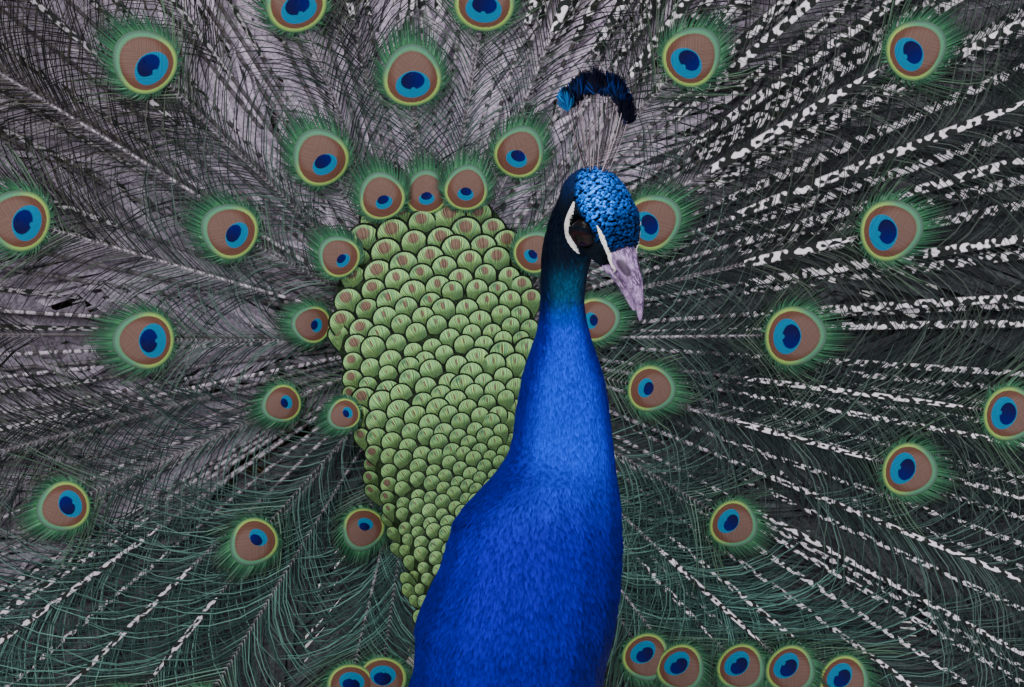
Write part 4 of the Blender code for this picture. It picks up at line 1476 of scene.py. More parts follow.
def feather_list():
    """Radius of the eye, angle and whether it is a fishtail, for each train feather."""
    rng = np.random.RandomState(61)
    reach = train_reach()
    found = []
    for radius, degrees in EYE_RINGS:
        for degree in degrees:
            found.append((radius, radians(degree), 0))
    golden = pi * (3 - 5**0.5)
    index = 0
    while True:
        index += 1
        radius = (OUTER_START**2 + index / (EYES_PER_AREA * pi))**0.5
        if radius > FAN_RADIUS:
            break
        angle = index * golden % (2 * pi)
        limit = reach[int(np.degrees(angle)) % 360] - 0.1
        crowded = radius < 0.56 and abs(np.degrees(angle) - 326) < 5
        if radius < limit and not crowded:
            found.append((radius + rng.uniform(-0.012, 0.012), angle + rng.normal(0, 0.01), 0))
    for index in range(FISHTAILS):
        angle = radians(-34) + radians(248) * (index + 0.5) / FISHTAILS
        found.append((reach[int(np.degrees(angle)) % 360] - 0.06, angle + rng.normal(0, 0.006), 1))
    return np.array(found), rng


FEATHERS = {}


def train_feathers():
    if not FEATHERS:
        found, rng = feather_list()
        FEATHERS["eye"] = found[:, 0]
        FEATHERS["angle"] = found[:, 1]
        FEATHERS["fishtail"] = found[:, 2] > 0
        FEATHERS["layer"] = -0.013 + 0.024 * found[:, 0] / FAN_RADIUS + rng.uniform(-0.002, 0.002, len(found))
        FEATHERS["grown"] = stepped(found[:, 0], 0.075, 0.34)
    return FEATHERS


def lit_side(angle):
    """1 where the white of the feathers shows most: on the bird's left and low down."""
    lit = stepped(np.cos(angle - radians(20)), -0.2, 0.5)
    return np.maximum(lit, 0.55 * stepped(-np.sin(angle), 0.25, 0.55))


def eye_sizes():
    """Half width of the eye on each eyed feather: small near the body, smaller low down."""
    feathers = train_feathers()
    eyed = ~feathers["fishtail"]
    eye, angle = feathers["eye"][eyed], feathers["angle"][eyed]
    rng = np.random.RandomState(66)
    share = np.interp(eye, (0.08, 0.1, 0.16, 0.26, 0.36), (0.64, 0.7, 0.92, 1.01, 1.05))
    share *= 1 - 0.15 * stepped(-np.sin(angle), 0.05, 0.4)
    return bpy.context.scene.peacock_sizes.eye_size / 2 * share * rng.uniform(0.96, 1.04, len(eye))


def fan_map(points):
    """Unwrap of the fan: the flat layout of its shallow cup."""
    return away_from_middle(points)[0] / (2.1 * FAN_RADIUS) + (0.5, 0.36)


class PEACOCK_OT_train_shafts(bpy.types.Operator):
    """White shafts of the train feathers, and the pale down along each of them"""
    bl_idname = "peacock.train_shafts"
    bl_label = "Train Shafts"

    STEPS = 10

    def execute(self, context):
        feathers = train_feathers()
        points, faces = [], []
        start = 0
        for eye, angle, layer in zip(feathers["eye"], feathers["angle"], feathers["layer"]):
            radii = np.linspace(0.035, eye, self.STEPS)
            path = above_floor(cup_point(radii, np.full(self.STEPS, angle), layer + 0.0012))
            thick = np.linspace(0.0019, 0.0006, self.STEPS) * (0.5 + 0.5 * min(eye / 0.5, 1))
            made, order = tube(path, thick, 5)
            points.append(made)
            faces.append(order + start)
            start += len(made)
        look = Finish("train_shafts", 0.42, specular=0.35)
        tone = noise(look.place(), 60.0, 3.0)
        bright = look.mark("bright")
        _, along = look.map_place(VANE_MAP)
        beads = along * 170.0 + tone * 3.0
        beads = spread(noise(beads, 1.0, 1.0, "1D"), 0.42, 0.55)
        bright = bright * beads
        dim = mix(tone, (0.016, 0.014, 0.016), (0.075, 0.064, 0.072))
        look.colour(mix(bright, dim, mix(tone, (0.34, 0.29, 0.36), (0.68, 0.6, 0.72))))
        share = np.linspace(0, 1, self.STEPS)[None, :, None]
        along = np.broadcast_to(feathers["eye"][:, None, None] * share, (len(feathers["eye"]), self.STEPS, 5))
        turn = np.broadcast_to(np.arange(5) / 5, along.shape)
        shafts = add_piece("train_shafts", np.concatenate(points), np.concatenate(faces), look.made,
                           {VANE_MAP: np.stack([turn.ravel(), along.ravel()], axis=1)},
                           {"bright": self.brightness(feathers)})
        nodes = [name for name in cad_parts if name.startswith("train_")]
        settle(shafts, "train_vanes", *nodes)
        self.down(feathers)
        return {"FINISHED"}

    def brightness(self, feathers):
        """Some shafts are pale all along, and others only near the body."""
        rng = np.random.RandomState(67)
        pale = stepped(rng.rand(len(feathers["eye"])) + 0.3 * lit_side(feathers["angle"]), 0.68, 0.85)
        share = np.repeat(np.linspace(0, 1, self.STEPS), 5)
        near = (0.2 + 0.8 * lit_side(feathers["angle"]))[:, None] * stepped(share, 0.5, 0.2)
        return np.maximum(pale[:, None] * 0.9 * stepped(share, 1.0, 0.75), near).ravel()

    def down(self, feathers):
        """A pale strip behind each shaft, in tufts, as the bases of the barbs show from in front."""
        rng = np.random.RandomState(65)
        steps = np.linspace(0, 1, 8)
        start = 0.13 + 0.1 * feathers["grown"]
        end = feathers["eye"] - 0.03
        long = (end > start + 0.06) & (rng.rand(len(end)) < 0.4 + 0.6 * lit_side(feathers["angle"]))
        start, end, angle = start[long], end[long], feathers["angle"][long]
        radii = start[:, None] + (end - start)[:, None] * steps
        turn = np.tile(angle[:, None], (1, len(steps)))
        spine = above_floor(cup_point(radii, turn, feathers["layer"][long][:, None] - 0.0004))
        side = np.stack([-np.sin(turn), np.zeros_like(turn), np.cos(turn)], axis=-1)
        half = np.tile(0.0041 * np.interp(steps, (0, 0.15, 0.8, 1), (0.7, 1.0, 0.9, 0.4)), (len(start), 1))
        half = half * (0.55 + 0.45 * stepped(np.sin(angle), -0.25, 0.2) * lit_side(angle))[:, None]
        points, faces, local = ribbons(spine, side, half)
        each = len(steps) * 2
        strip = np.stack([local[:, 0], np.repeat(radii.ravel(), 2)], axis=1)
        column = np.repeat(np.arange(len(start)), each)
        bake = np.stack([(column + 0.1 + 0.8 * local[:, 0]) / len(start), strip[:, 1] / 1.2], axis=1)
        lit = 0.22 + 0.78 * lit_side(angle)
        down = add_piece("shaft_down", points, faces, self.down_material(), {BAKE_MAP: bake, VANE_MAP: strip},
                         {"lit": np.repeat(lit, each), "tint": np.repeat(rng.rand(len(lit)), each)})
        settle(down, "train_vanes")

    def down_material(self):
        look = Finish("shaft_down", 0.7, specular=0.2)
        across, along = look.map_place(VANE_MAP)
        lit = look.mark("lit")
        tint = look.mark("tint")
        off = abs(across - 0.5)
        place = vector(along * 190.0 + tint * 90.0, across * 1.6, 0.0)
        tufts = noise(place, 1.0, 0.0, "2D")
        strands = along * 700.0 + off * -9.0
        white = mix(noise(strands, 1.0, 1.0, "1D"), (0.66, 0.58, 0.7), (1.0, 0.95, 1.0))
        pale = mix(lit, (0.16, 0.145, 0.17), white)
        shown = spread(tufts, 0.455, 0.585) * spread(off, 0.5, 0.3)
        look.colour(mix(shown, (0.01, 0.013, 0.012), pale))
        return look.made


class PEACOCK_OT_train_barbs(bpy.types.Operator):
    """Loose barbs on both sides of every shaft of the train, and the softer vanes behind them"""
    bl_idname = "peacock.train_barbs"
    bl_label = "Train Barbs"

    ROWS = 5
    MOST = 196000 // 8             # barbs in one piece
    BEHIND = 0.0130                # the softer vanes lie this far behind the barbs
    SPARE = 9500                   # softer vanes besides those of the shafts

    def execute(self, context):
        sizes = context.scene.peacock_sizes
        rng = np.random.RandomState(62)
        front = self.roots(rng, sizes.barb_spacing)
        near = stepped(front["gap"], 0.06, 0.01) * (1 - front["fish"])
        start = radians(32) + radians(30) * near
        end = radians(94) - radians(80) * near
        length = sizes.barb_length * (1.0 - 0.25 * near)
        spine = self.shape(front, rng, length, start, end, 0.11)
        spine = self.clear_eyes(spine)
        self.lay("train_barbs", front, spine, rng, sizes.barb_width / 2, self.barb_material())
        back, spare = self.roots(rng, 0.0062), self.spare_roots(rng)
        back = {key: np.concatenate([back[key], spare[key]]) for key in back}
        back["layer"] = back["layer"] + self.BEHIND
        count = len(back["gap"])
        spine = self.shape(back, rng, np.full(count, 0.105), np.full(count, radians(24)),
                           np.full(count, radians(36)), 0.05)
        self.lay("train_under", back, spine, rng, 0.0027, self.under_material())
        return {"FINISHED"}

    def roots(self, rng, spacing):
        """Where the barbs leave their shafts, on which side, and how far before the eye."""
        feathers = train_feathers()
        found = []
        for index, eye in enumerate(feathers["eye"]):
            end = eye - 0.01 * (0.5 + 0.5 * feathers["grown"][index])
            inner = eye * (0.38 + 0.2 * float(stepped(np.array(eye), 0.35, 0.75)))
            count = int((end - inner) / spacing)
            radii = inner + (end - inner) * (np.arange(count) + rng.rand(count) * 0.4) / max(count, 1)
            for side in (-1, 1):
                found.append(np.stack([
                    radii, np.full(count, feathers["angle"][index]), np.full(count, side), eye - radii,
                    np.full(count, feathers["layer"][index]), np.full(count, feathers["fishtail"][index])]))
        keys = ("radius", "angle", "hand", "gap", "layer", "fish")
        found = dict(zip(keys, np.concatenate(found, axis=1).astype(float)))
        return {**found, "wide": np.ones(len(found["gap"]))}

    def spare_roots(self, rng):
        """Roots spread evenly over the fan, so that no gap is left between two feathers."""
        index = np.arange(self.SPARE)
        angle = index * pi * (3 - 5**0.5) % (2 * pi)
        radius = 0.1 + (FAN_RADIUS - 0.16) * np.sqrt((index + 0.5) / self.SPARE)
        inside = radius < train_reach()[np.degrees(angle).astype(int) % 360] - 0.12
        radius, angle = radius[inside], angle[inside]
        count = len(radius)
        return {"radius": radius, "angle": angle, "hand": rng.choice((-1.0, 1.0), count),
                "gap": np.full(count, 0.2), "layer": -0.004 + 0.024 * radius / FAN_RADIUS,
                "fish": np.zeros(count), "wide": np.full(count, 3.4)}

    def shape(self, barbs, rng, length, start, end, wander):
        """Curved spines of the barbs on the cup of the fan."""
        count = len(length)
        length = length * rng.uniform(0.85, 1.1, count)
        length = length * (0.45 + 0.55 * stepped(barbs["radius"] + barbs["gap"], 0.08, 0.34))
        steps = np.linspace(0, 1, self.ROWS)
        start = start + rng.normal(0, wander / 3, count)
        end = end + rng.normal(0, wander, count)
        turn = start[:, None] + (end - start)[:, None] * steps
        step = length[:, None] / (self.ROWS - 1)
        none = np.zeros((count, 1))
        radial = np.concatenate([none, np.cumsum(np.cos(turn[:, :-1]) * step, axis=1)], axis=1)
        aside = np.concatenate([none, np.cumsum(np.sin(turn[:, :-1]) * step, axis=1)], axis=1)
        aside *= barbs["hand"][:, None]
        out, across = directions(barbs["angle"])
        flat = (out[:, None] * (barbs["radius"][:, None] + radial)[:, :, None]
                + across[:, None] * aside[:, :, None])
        wave = (barbs["hand"] * 0.002 + rng.normal(0, 0.0016, count))[:, None] * steps
        return above_floor(on_fan(flat, barbs["layer"][:, None] + wave))

    def clear_eyes(self, spine):
        """Barbs pass behind the eyes of the other feathers."""
        feathers = train_feathers()
        eyed = ~feathers["fishtail"]
        middle = cup_point(feathers["eye"][eyed], feathers["angle"][eyed], feathers["layer"][eyed])
        size = eye_sizes()
        points = spine.reshape(-1, 3)
        for place, half in zip(middle, size):
            near = np.hypot(points[:, 0] - place[0], points[:, 2] - place[2]) < 1.12 * half
            points[near, 1] = np.maximum(points[near, 1], place[1] + 0.0012)
        return points.reshape(spine.shape)

    def lay(self, name, barbs, spine, rng, half_width, material):
        count = len(spine)
        ahead = unit(np.gradient(spine, axis=1))
        tilt = rng.normal(0, 0.4, count)
        facing = unit(np.stack([np.sin(tilt) * 0.5, -np.ones(count), np.sin(tilt)], axis=1))
        side = unit(np.cross(ahead, facing[:, None]))
        steps = np.linspace(0, 1, self.ROWS)
        half = np.tile(half_width * np.interp(steps, (0, 0.1, 0.7, 1), (0.9, 1.0, 0.8, 0.15)), (count, 1))
        half = half * rng.uniform(0.75, 1.25, (count, 1)) * barbs["wide"][:, None]
        tint = rng.rand(count)
        place = spine[:, 0]
        green, lilac = self.greenness(place), self.lilac(place)
        order = np.argsort(barbs["radius"] + barbs["gap"], kind="stable")
        marks = {"gap": barbs["gap"], "tint": tint, "green": green, "lilac": lilac}
        for number, chosen in enumerate(np.array_split(order, int(np.ceil(count / self.MOST))), 1):
            made = ribbons(spine[chosen], side[chosen], half[chosen])
            above_floor(made[0], FLOOR_GAP / 4)
            settle(add_copies(f"{name}_{number}", made, fan_map(place[chosen]), material,
                              **{key: value[chosen] for key, value in marks.items()}), "train_vanes")

    def greenness(self, points):
        """Barbs are greener near the body and low on the train."""
        away, radius = away_from_middle(points)
        low = stepped(-away[:, 1], 0.0, 0.26) * (1 - 0.75 * stepped(away[:, 0], 0.2, 0.42))
        side = 0.15 * stepped(away[:, 0], 0.05, 0.35)
        return np.clip(low + side + 0.35 * stepped(-radius, -0.25, -0.12), 0, 1)

    def lilac(self, points):
        """Painted light: the vanes behind are painted paler above and on the bird's right, where the light
        falls on them, and dark low on the bird's left.
        """
        away, _ = away_from_middle(points)
        turn = np.arctan2(away[:, 1], away[:, 0])
        above = stepped(np.sin(turn) + 0.4 * stepped(-np.cos(turn), 0.3, 0.8), -0.55, 0.1)
        aside = stepped(np.cos(turn), 0.2, 0.75) * stepped(-np.sin(turn), -0.9, -0.2)
        height = 0.42 + 0.58 * stepped(np.sin(turn), 0.45, 0.9)
        return np.clip(above * (1 - 0.85 * aside) * height, 0.06, 1.0)

    def barb_material(self):
        look = Finish("train_barbs_finish", 0.5, 0.15, 0.15)
        gap = look.mark("gap")
        tint = look.mark("tint")
        green = look.mark("green")
        across, along = look.map_place(VANE_MAP)
        colour = mix(spread(tint, 0.45, 1.0), (0.005, 0.005, 0.006), (0.042, 0.041, 0.036))
        emerald = mix(spread(tint, 0.35, 1.0), (0.016, 0.042, 0.044), (0.08, 0.19, 0.178))
        colour = mix(green, colour, emerald)
        bright = mix(tint, (0.02, 0.055, 0.036), (0.075, 0.13, 0.09))
        colour = mix(spread(gap, 0.06, 0.01), colour, bright)
        lit = mix(1.0, colour, (2.1, 2.0, 1.7), "MULTIPLY")
        colour = mix(spread(across, 0.55, 0.95), colour, lit)
        pale = spread(along, 0.045, 0.01) * 0.35
        look.colour(mix(pale, colour, (0.42, 0.37, 0.43)))
        return look.made

    def under_material(self):
        look = Finish("train_under_finish", 0.75, specular=0.15)
        tint = look.mark("tint")
        lilac = look.mark("lilac")
        _, along = look.map_place(VANE_MAP)
        grain = noise(look.place(), 420.0, 2.0)
        dark = mix(tint, (0.006, 0.012, 0.011), (0.022, 0.04, 0.036))
        pale = mix(tint, (0.44, 0.365, 0.49), (0.88, 0.75, 0.96))
        # lilac blends the painted shade of the dark vanes into the painted light of the pale ones.
        colour = mix(lilac, dark, pale)
        shade = mix(1.0, colour, (0.55, 0.55, 0.55), "MULTIPLY")
        colour = mix(spread(grain, 0.35, 0.6), shade, colour)
        look.colour(mix(spread(along, 0.7, 1.0), colour, shade))
        return look.made


class PEACOCK_OT_train_eyes(bpy.types.Operator):
    """Eyes of the train feathers and the green fringe round each"""
    bl_idname = "peacock.train_eyes"
    bl_label = "Train Eyes"

    AROUND = 32
    RINGS = 7
    FRINGE = 150
    FRINGE_ROWS = 4
    INNER = 0.135                  # eyes nearer the middle than this may touch the back
    COVERED = radians(93)          # turn of the one whose lower half stays behind the scales

    def execute(self, context):
        feathers = train_feathers()
        eyed = ~feathers["fishtail"]
        eye, angle = feathers["eye"][eyed], feathers["angle"][eyed]
        layer, grown = feathers["layer"][eyed], feathers["grown"][eyed]
        rng = np.random.RandomState(63)
        size = eye_sizes()
        layer = layer + self.clearance(eye, angle, layer, size)
        self.plates(eye, angle, layer, grown, size)
        self.fringes(eye, angle, layer, size, rng)
        self.fishtail_ends(feathers, rng)
        return {"FINISHED"}

    def clearance(self, eye, angle, layer, size):
        """How far the innermost eyes move forward to lie in front of the back."""
        moved = np.zeros(len(eye))
        turns = np.linspace(0, 2 * pi, 12, endpoint=False)
        for index in np.flatnonzero(eye < self.INNER):
            middle = cup_point(eye[index], angle[index], layer[index])
            clear = 0.0015 if abs(angle[index] - self.COVERED) < 0.13 else 0.0075
            for x, z in zip(middle[0] + size[index] * np.cos(turns), middle[2] + size[index] * np.sin(turns)):
                place = skin_from_front(x, z)[0]
                if place is not None:
                    moved[index] = min(moved[index], place.y - clear - middle[1])
        return moved

    def egg(self, turn):
        """Edge of an eye: across the feather and along it, narrower towards the tip."""
        return np.cos(turn) * (1 - 0.13 * np.sin(turn)), np.sin(turn) * 1.05

    def plates(self, eye, angle, layer, grown, size):
        turn = np.linspace(0, 2 * pi, self.AROUND, endpoint=False)
        share = np.linspace(0, 1, self.RINGS)**0.8
        share[0] = 0.02
        across, ahead = self.egg(turn)
        dome = np.tile((0.1 * (1 - share**2))[:, None], (1, self.AROUND))
        flat = np.stack([share[:, None] * across, share[:, None] * ahead, dome], axis=-1).reshape(-1, 3)
        round_place = np.stack([share[:, None] * np.cos(turn), share[:, None] * np.sin(turn)], axis=-1)
        faces = np.array(grid_faces(self.RINGS, self.AROUND, closed=True))
        count = len(eye)
        out = np.stack([np.cos(angle), np.zeros(count), np.sin(angle)], axis=1)
        aside = np.stack([-np.sin(angle), np.zeros(count), np.cos(angle)], axis=1)
        slope = 2 * FAN_CUP * eye / FAN_RADIUS**2
        out = unit(out + np.array((0, -1, 0)) * slope[:, None])
        front = unit(np.cross(aside, out))
        front *= -np.sign(front[:, 1])[:, None]
        place = cup_point(eye, angle, layer - 0.0022)
        points = place[:, None] + 0.0
        for axis, way in enumerate((aside, out, front)):
            points = points + way[:, None] * (flat[:, axis:axis + 1] * size[:, None, None])
        above_floor(points)
        faces = repeated(faces, count, len(flat))
        local = round_place.reshape(-1, 2) * 0.45 + 0.5
        wide = int(np.ceil(count**0.5))
        cell = np.stack([np.arange(count) % wide, np.arange(count) // wide], axis=1) / wide
        bake = np.repeat(cell, len(flat), axis=0) + np.tile(local, (count, 1)) * (0.96 / wide) + 0.02 / wide
        grown = grown * (1 - 0.6 * stepped(-np.sin(angle), 0.0, 0.4))
        tint = np.random.RandomState(64).rand(count)
        plates = add_piece("train_eyes", points.reshape(-1, 3), faces, self.material(),
                           {BAKE_MAP: bake, "eye": np.tile(local, (count, 1))},
                           {"grown": np.repeat(grown, len(flat)), "tint": np.repeat(tint, len(flat))})
        settle(plates, "train_vanes")

    def fringes(self, eye, angle, layer, size, rng):
        """Barbs over the plate's edge: short at the foot, longer and forward at the tip."""
        count = len(eye)
        steps = np.linspace(0, 1, self.FRINGE_ROWS)
        turn = np.tile(np.linspace(-0.47 * pi, 1.47 * pi, self.FRINGE), count)
        turn = turn + rng.normal(0, 0.02, len(turn))
        which = np.repeat(np.arange(count), self.FRINGE)
        across, ahead = self.egg(turn)
        edge = np.stack([across, ahead], axis=1) * (size[which] * rng.uniform(0.93, 1.0, len(turn)))[:, None]
        reach = size[which] * (0.52 + 0.26 * np.sin(turn)) * rng.uniform(0.6, 1.3, len(turn))
        aim = turn + 0.8 * np.cos(turn)
        direction = np.stack([np.cos(aim), np.sin(aim)], axis=1)
        flat = edge[:, None] + direction[:, None] * (reach[:, None] * steps)[:, :, None]
        flat[:, :, 1] += 0.3 * reach[:, None] * steps**2
        out, aside = directions(angle[which])
        plane = (out[:, None] * (eye[which][:, None] + flat[:, :, 1])[:, :, None]
                 + aside[:, None] * flat[:, :, :1])
        back = layer[which][:, None] - 0.0016 + (0.0012 + rng.normal(0, 0.001, len(turn)))[:, None] * steps
        spine = above_floor(on_fan(plane, back))
        along = unit(np.gradient(spine, axis=1) + (0, 0, 1e-7))
        facing = unit(rng.normal(0, 0.25, (len(turn), 3)) + (0, -1, 0))
        side = unit(np.cross(along, facing[:, None]))
        half = np.tile(0.00042 * np.interp(steps, (0, 0.5, 1), (1.2, 1.0, 0.2)), (len(turn), 1))
        look = Finish("eye_fringe", 0.5, 0.2, 0.3)
        tint = look.mark("tint")
        _, share = look.map_place(VANE_MAP)
        pale = mix(tint, (0.01, 0.075, 0.034), (0.05, 0.2, 0.085))
        green = mix(tint, (0.006, 0.045, 0.026), (0.035, 0.12, 0.065))
        dark = mix(tint, (0.01, 0.022, 0.018), (0.04, 0.06, 0.042))
        colour = mix(spread(share, 0.05, 0.4), pale, green)
        look.colour(mix(spread(share, 0.45, 1.0), colour, dark))
        fringe = add_copies("train_fringe", ribbons(spine, side, half), fan_map(spine[:, 0]), look.made,
                            tint=rng.rand(len(turn)))
        settle(fringe, "train_vanes")

    def fishtail_ends(self, feathers, rng):
        """Dense forked ends of the longest feathers."""
        fish = feathers["fishtail"]
        eye, angle, layer = (feathers[key][fish] for key in ("eye", "angle", "layer"))
        each_side, rows = 26, 5
        steps = np.linspace(0, 1, rows)
        spines, tints = [], []
        for radius, turn, back in zip(eye, angle, layer):
            for side in (-1, 1):
                root = radius - 0.085 * rng.rand(each_side)
                start = radians(34) + rng.normal(0, 0.05, each_side)
                length = 0.03 + 0.75 * (radius - root) * 0.5 + 0.012 * rng.rand(each_side)
                along = length[:, None] * steps
                away = root[:, None] + along * np.cos(start)[:, None] * 0.86
                aside = side * along * np.sin(start)[:, None]
                out, across = directions(turn)
                spines.append(on_fan(out * away[:, :, None] + across * aside[:, :, None], back - 0.001))
                tints.append(rng.rand(each_side))
        spine = above_floor(np.concatenate(spines))
        ahead = unit(np.gradient(spine, axis=1))
        side = unit(np.cross(ahead, np.array((0, -1.0, 0))))
        half = np.tile(0.0011 * np.interp(steps, (0, 0.5, 1), (0.8, 1.0, 0.25)), (len(spine), 1))
        look = Finish("fishtail_barbs", 0.45, 0.25, 0.3)
        tint = look.mark("tint")
        look.colour(mix(tint, (0.012, 0.04, 0.026), (0.06, 0.105, 0.06)))
        ends = add_copies("fishtail_ends", ribbons(spine, side, half), fan_map(spine[:, 0]), look.made,
                          tint=np.concatenate(tints))
        settle(ends, "train_vanes")

    def oval(self, place, centre, halves, wobble):
        """Distance from an oval's middle, 1 on its edge."""
        parts = []
        for value, middle, half in zip(place, centre, halves):
            part = (value - middle) / half
            parts.append(part * part)
        return calc("SQRT", calc("ADD", *parts)) + wobble

    def material(self):
        look = Finish("train_eye_finish", 0.45, 0.1, 0.1)
        u, v = look.map_place("eye")
        grown = look.mark("grown")
        tint = look.mark("tint")
        x = (u - 0.5) / 0.45
        y = (v - 0.5) / 0.45
        place = (x, y)
        off = abs(x)
        barb = y - off * 0.9
        barb = barb * 30.0 + tint * 50.0
        lines = noise(barb, 1.0, 1.0, "1D")
        wobble = (lines - 0.5) * 0.05
        edge = self.oval(place, (0, 0), (0.94, 0.95), wobble)
        ring = self.oval(place, (0, -0.015), (0.9, 0.9), wobble)
        bronze = self.oval(place, (0, -0.06), (0.83, 0.82), wobble)
        lighter = self.oval(place, (0, 0.14), (0.68, 0.62), wobble)
        spot = 0.6 + spread(grown, 0.02, 0.45) * 0.4
        cyan = self.oval(place, (0, -0.285), (0.56, 0.44), wobble) / spot
        heart = self.oval(place, (0, -0.165), (0.39, 0.29), wobble) / spot
        notch = self.oval(place, (0, -0.465), (0.08, 0.09), wobble) / spot
        ahead = spread(y, -0.4, 0.45)
        green = mix(spread(lines, 0.35, 0.65), (0.02, 0.06, 0.035), (0.07, 0.14, 0.09))
        rim = mix(ahead, (0.15, 0.27, 0.07), (0.07, 0.14, 0.11))
        colour = mix(spread(edge, 1.05, 0.97), green, rim)
        inner = mix(ahead, (0.26, 0.4, 0.09), (0.075, 0.24, 0.135))
        colour = mix(spread(ring, 1.03, 0.97), colour, inner)
        rust = mix(spread(lines, 0.3, 0.7), (0.085, 0.036, 0.026), (0.13, 0.06, 0.042))
        colour = mix(spread(bronze, 1.02, 0.97), colour, rust)
        pink = mix(spread(lines, 0.3, 0.7), (0.11, 0.062, 0.052), (0.17, 0.104, 0.088))
        colour = mix(spread(lighter, 1.18, 0.8), colour, pink)
        blue = mix(spread(lines, 0.25, 0.75), (0.0, 0.11, 0.23), (0.0, 0.18, 0.34))
        colour = mix(spread(cyan, 1.03, 0.96), colour, blue)
        navy = mix(spread(x, -0.3, 0.3), (0.001, 0.002, 0.1), (0.003, 0.003, 0.045))
        inside = spread(heart, 1.03, 0.95) * spread(notch, 0.9, 1.1)
        look.colour(mix(inside, colour, navy))
        look.bump(lines, 0.5, 0.0004)
        return look.made


# ---- wings and tail -------------------------------------------------------------------------

class PEACOCK_OT_wings(bpy.types.Operator):
    """Barred wing coverts and the chestnut flight feathers that hang below them"""
    bl_idname = "peacock.wings"
    bl_label = "Wings"

    QUILLS = 11

    def execute(self, context):
        covert = vane_form(5, 7, (0.5, 0.85, 1.0, 1.0, 0.92, 0.7, 0.22), 0.22)
        bars = self.barred()
        for number, side in enumerate(("left", "right")):
            found = scatter((f"wing_{side}",), 0.0105, 71 + number)
            coat = lay_coat(f"wing_coverts_{side}", covert, found, long_map, bars, 0.09, 71 + number, 0.1)
            settle(coat, "wing_coverts")
            self.quills(side, 1 if side == "left" else -1)
        return {"FINISHED"}

    def quills(self, side, hand):
        """Flight feathers in the plane of their CAD solid, front to back."""
        points = node_points(f"flight_feathers_{side}")
        low, high = points.min(axis=0), points.max(axis=0)
        share = np.linspace(0.02, 0.9, self.QUILLS)
        top = np.array((0.1 * hand, low[1] + 0.006, high[2] - 0.004))
        rear = np.array((0.088 * hand, high[1] - 0.058, high[2] - 0.04))
        root = top + (rear - top) * share[:, None]
        bulged = root + np.stack([hand * 0.006 * np.sin(share * pi), share * 0, share * 0], axis=1)
        bottom = low[2] + 0.006 + 0.012 * (1 - share)
        aim = np.stack([np.full(self.QUILLS, -0.01 * hand), np.full(self.QUILLS, 0.05), bottom - root[:, 2]],
                       axis=1)
        length = np.linalg.norm(aim, axis=1)
        outward = np.tile((float(hand), 0.14, 0.08), (self.QUILLS, 1))
        form = vane_form(7, 12, (0.45, 0.85, 0.98, 1.0, 1.0, 1.0, 0.98, 0.95, 0.88, 0.75, 0.5, 0.12), 0.05)
        made = copies(form, bulged, aim, outward, length, np.full(self.QUILLS, 0.0125))
        finish = quill_material("flight_quills", (0.23, 0.085, 0.028), (0.12, 0.045, 0.018))
        cell = np.stack([(share - 0.02) * 0.9 + 0.05, np.full(self.QUILLS, 0.5)], axis=1)
        piece = add_copies(f"flight_quills_{side}", made, cell, finish, (0.07, 0.9),
                           tint=np.random.RandomState(75).rand(self.QUILLS))
        apply_modifier(piece, "SOLIDIFY", thickness=0.0007, offset=0.0)
        settle(piece, "flight_feathers", f"flight_feathers_{side}")

    def barred(self):
        look = Finish("barred_coverts", 0.6, specular=0.3)
        across, along = look.map_place(VANE_MAP)
        tint = look.mark("tint")
        off = abs(across - 0.5)
        wander = noise(look.place(), 190.0, 2.0)
        phase = along * 21.0 + off * -7.0
        phase = phase + wander * 9.0
        bars = calc("SINE", phase + tint * 6.0)
        buff = mix(tint, (0.36, 0.29, 0.19), (0.25, 0.19, 0.115))
        colour = mix(spread(bars, -0.15, 0.35), buff, (0.016, 0.014, 0.013))
        look.colour(colour)
        look.bump(wander, 0.3, 0.0004)
        return look.made


def quill_material(name, light, dark, edge=None):
    """A stiff vane: a pale shaft, slanting barbs and a darker outer edge."""
    look = Finish(name, 0.55, specular=0.35)
    across, along = look.map_place(VANE_MAP)
    tint = look.mark("tint")
    off = abs(across - 0.5)
    barb = along * 110.0 - off * 22.0
    lines = noise(barb, 1.0, 1.0, "1D")
    cloud = noise(look.place(), 55.0, 3.0)
    colour = mix(tint * cloud, light, dark)
    colour = mix(spread(lines, 0.35, 0.7, 0.0, 0.55), colour, dark)
    if edge is not None:
        colour = mix(spread(along, 0.9, 0.985), colour, edge)
    shaft = spread(off, 0.04, 0.022)
    look.colour(mix(shaft, colour, (0.3, 0.25, 0.18)))
    height = lines + shaft * 2.0
    look.bump(height, 0.4, 0.0005)
    return look.made


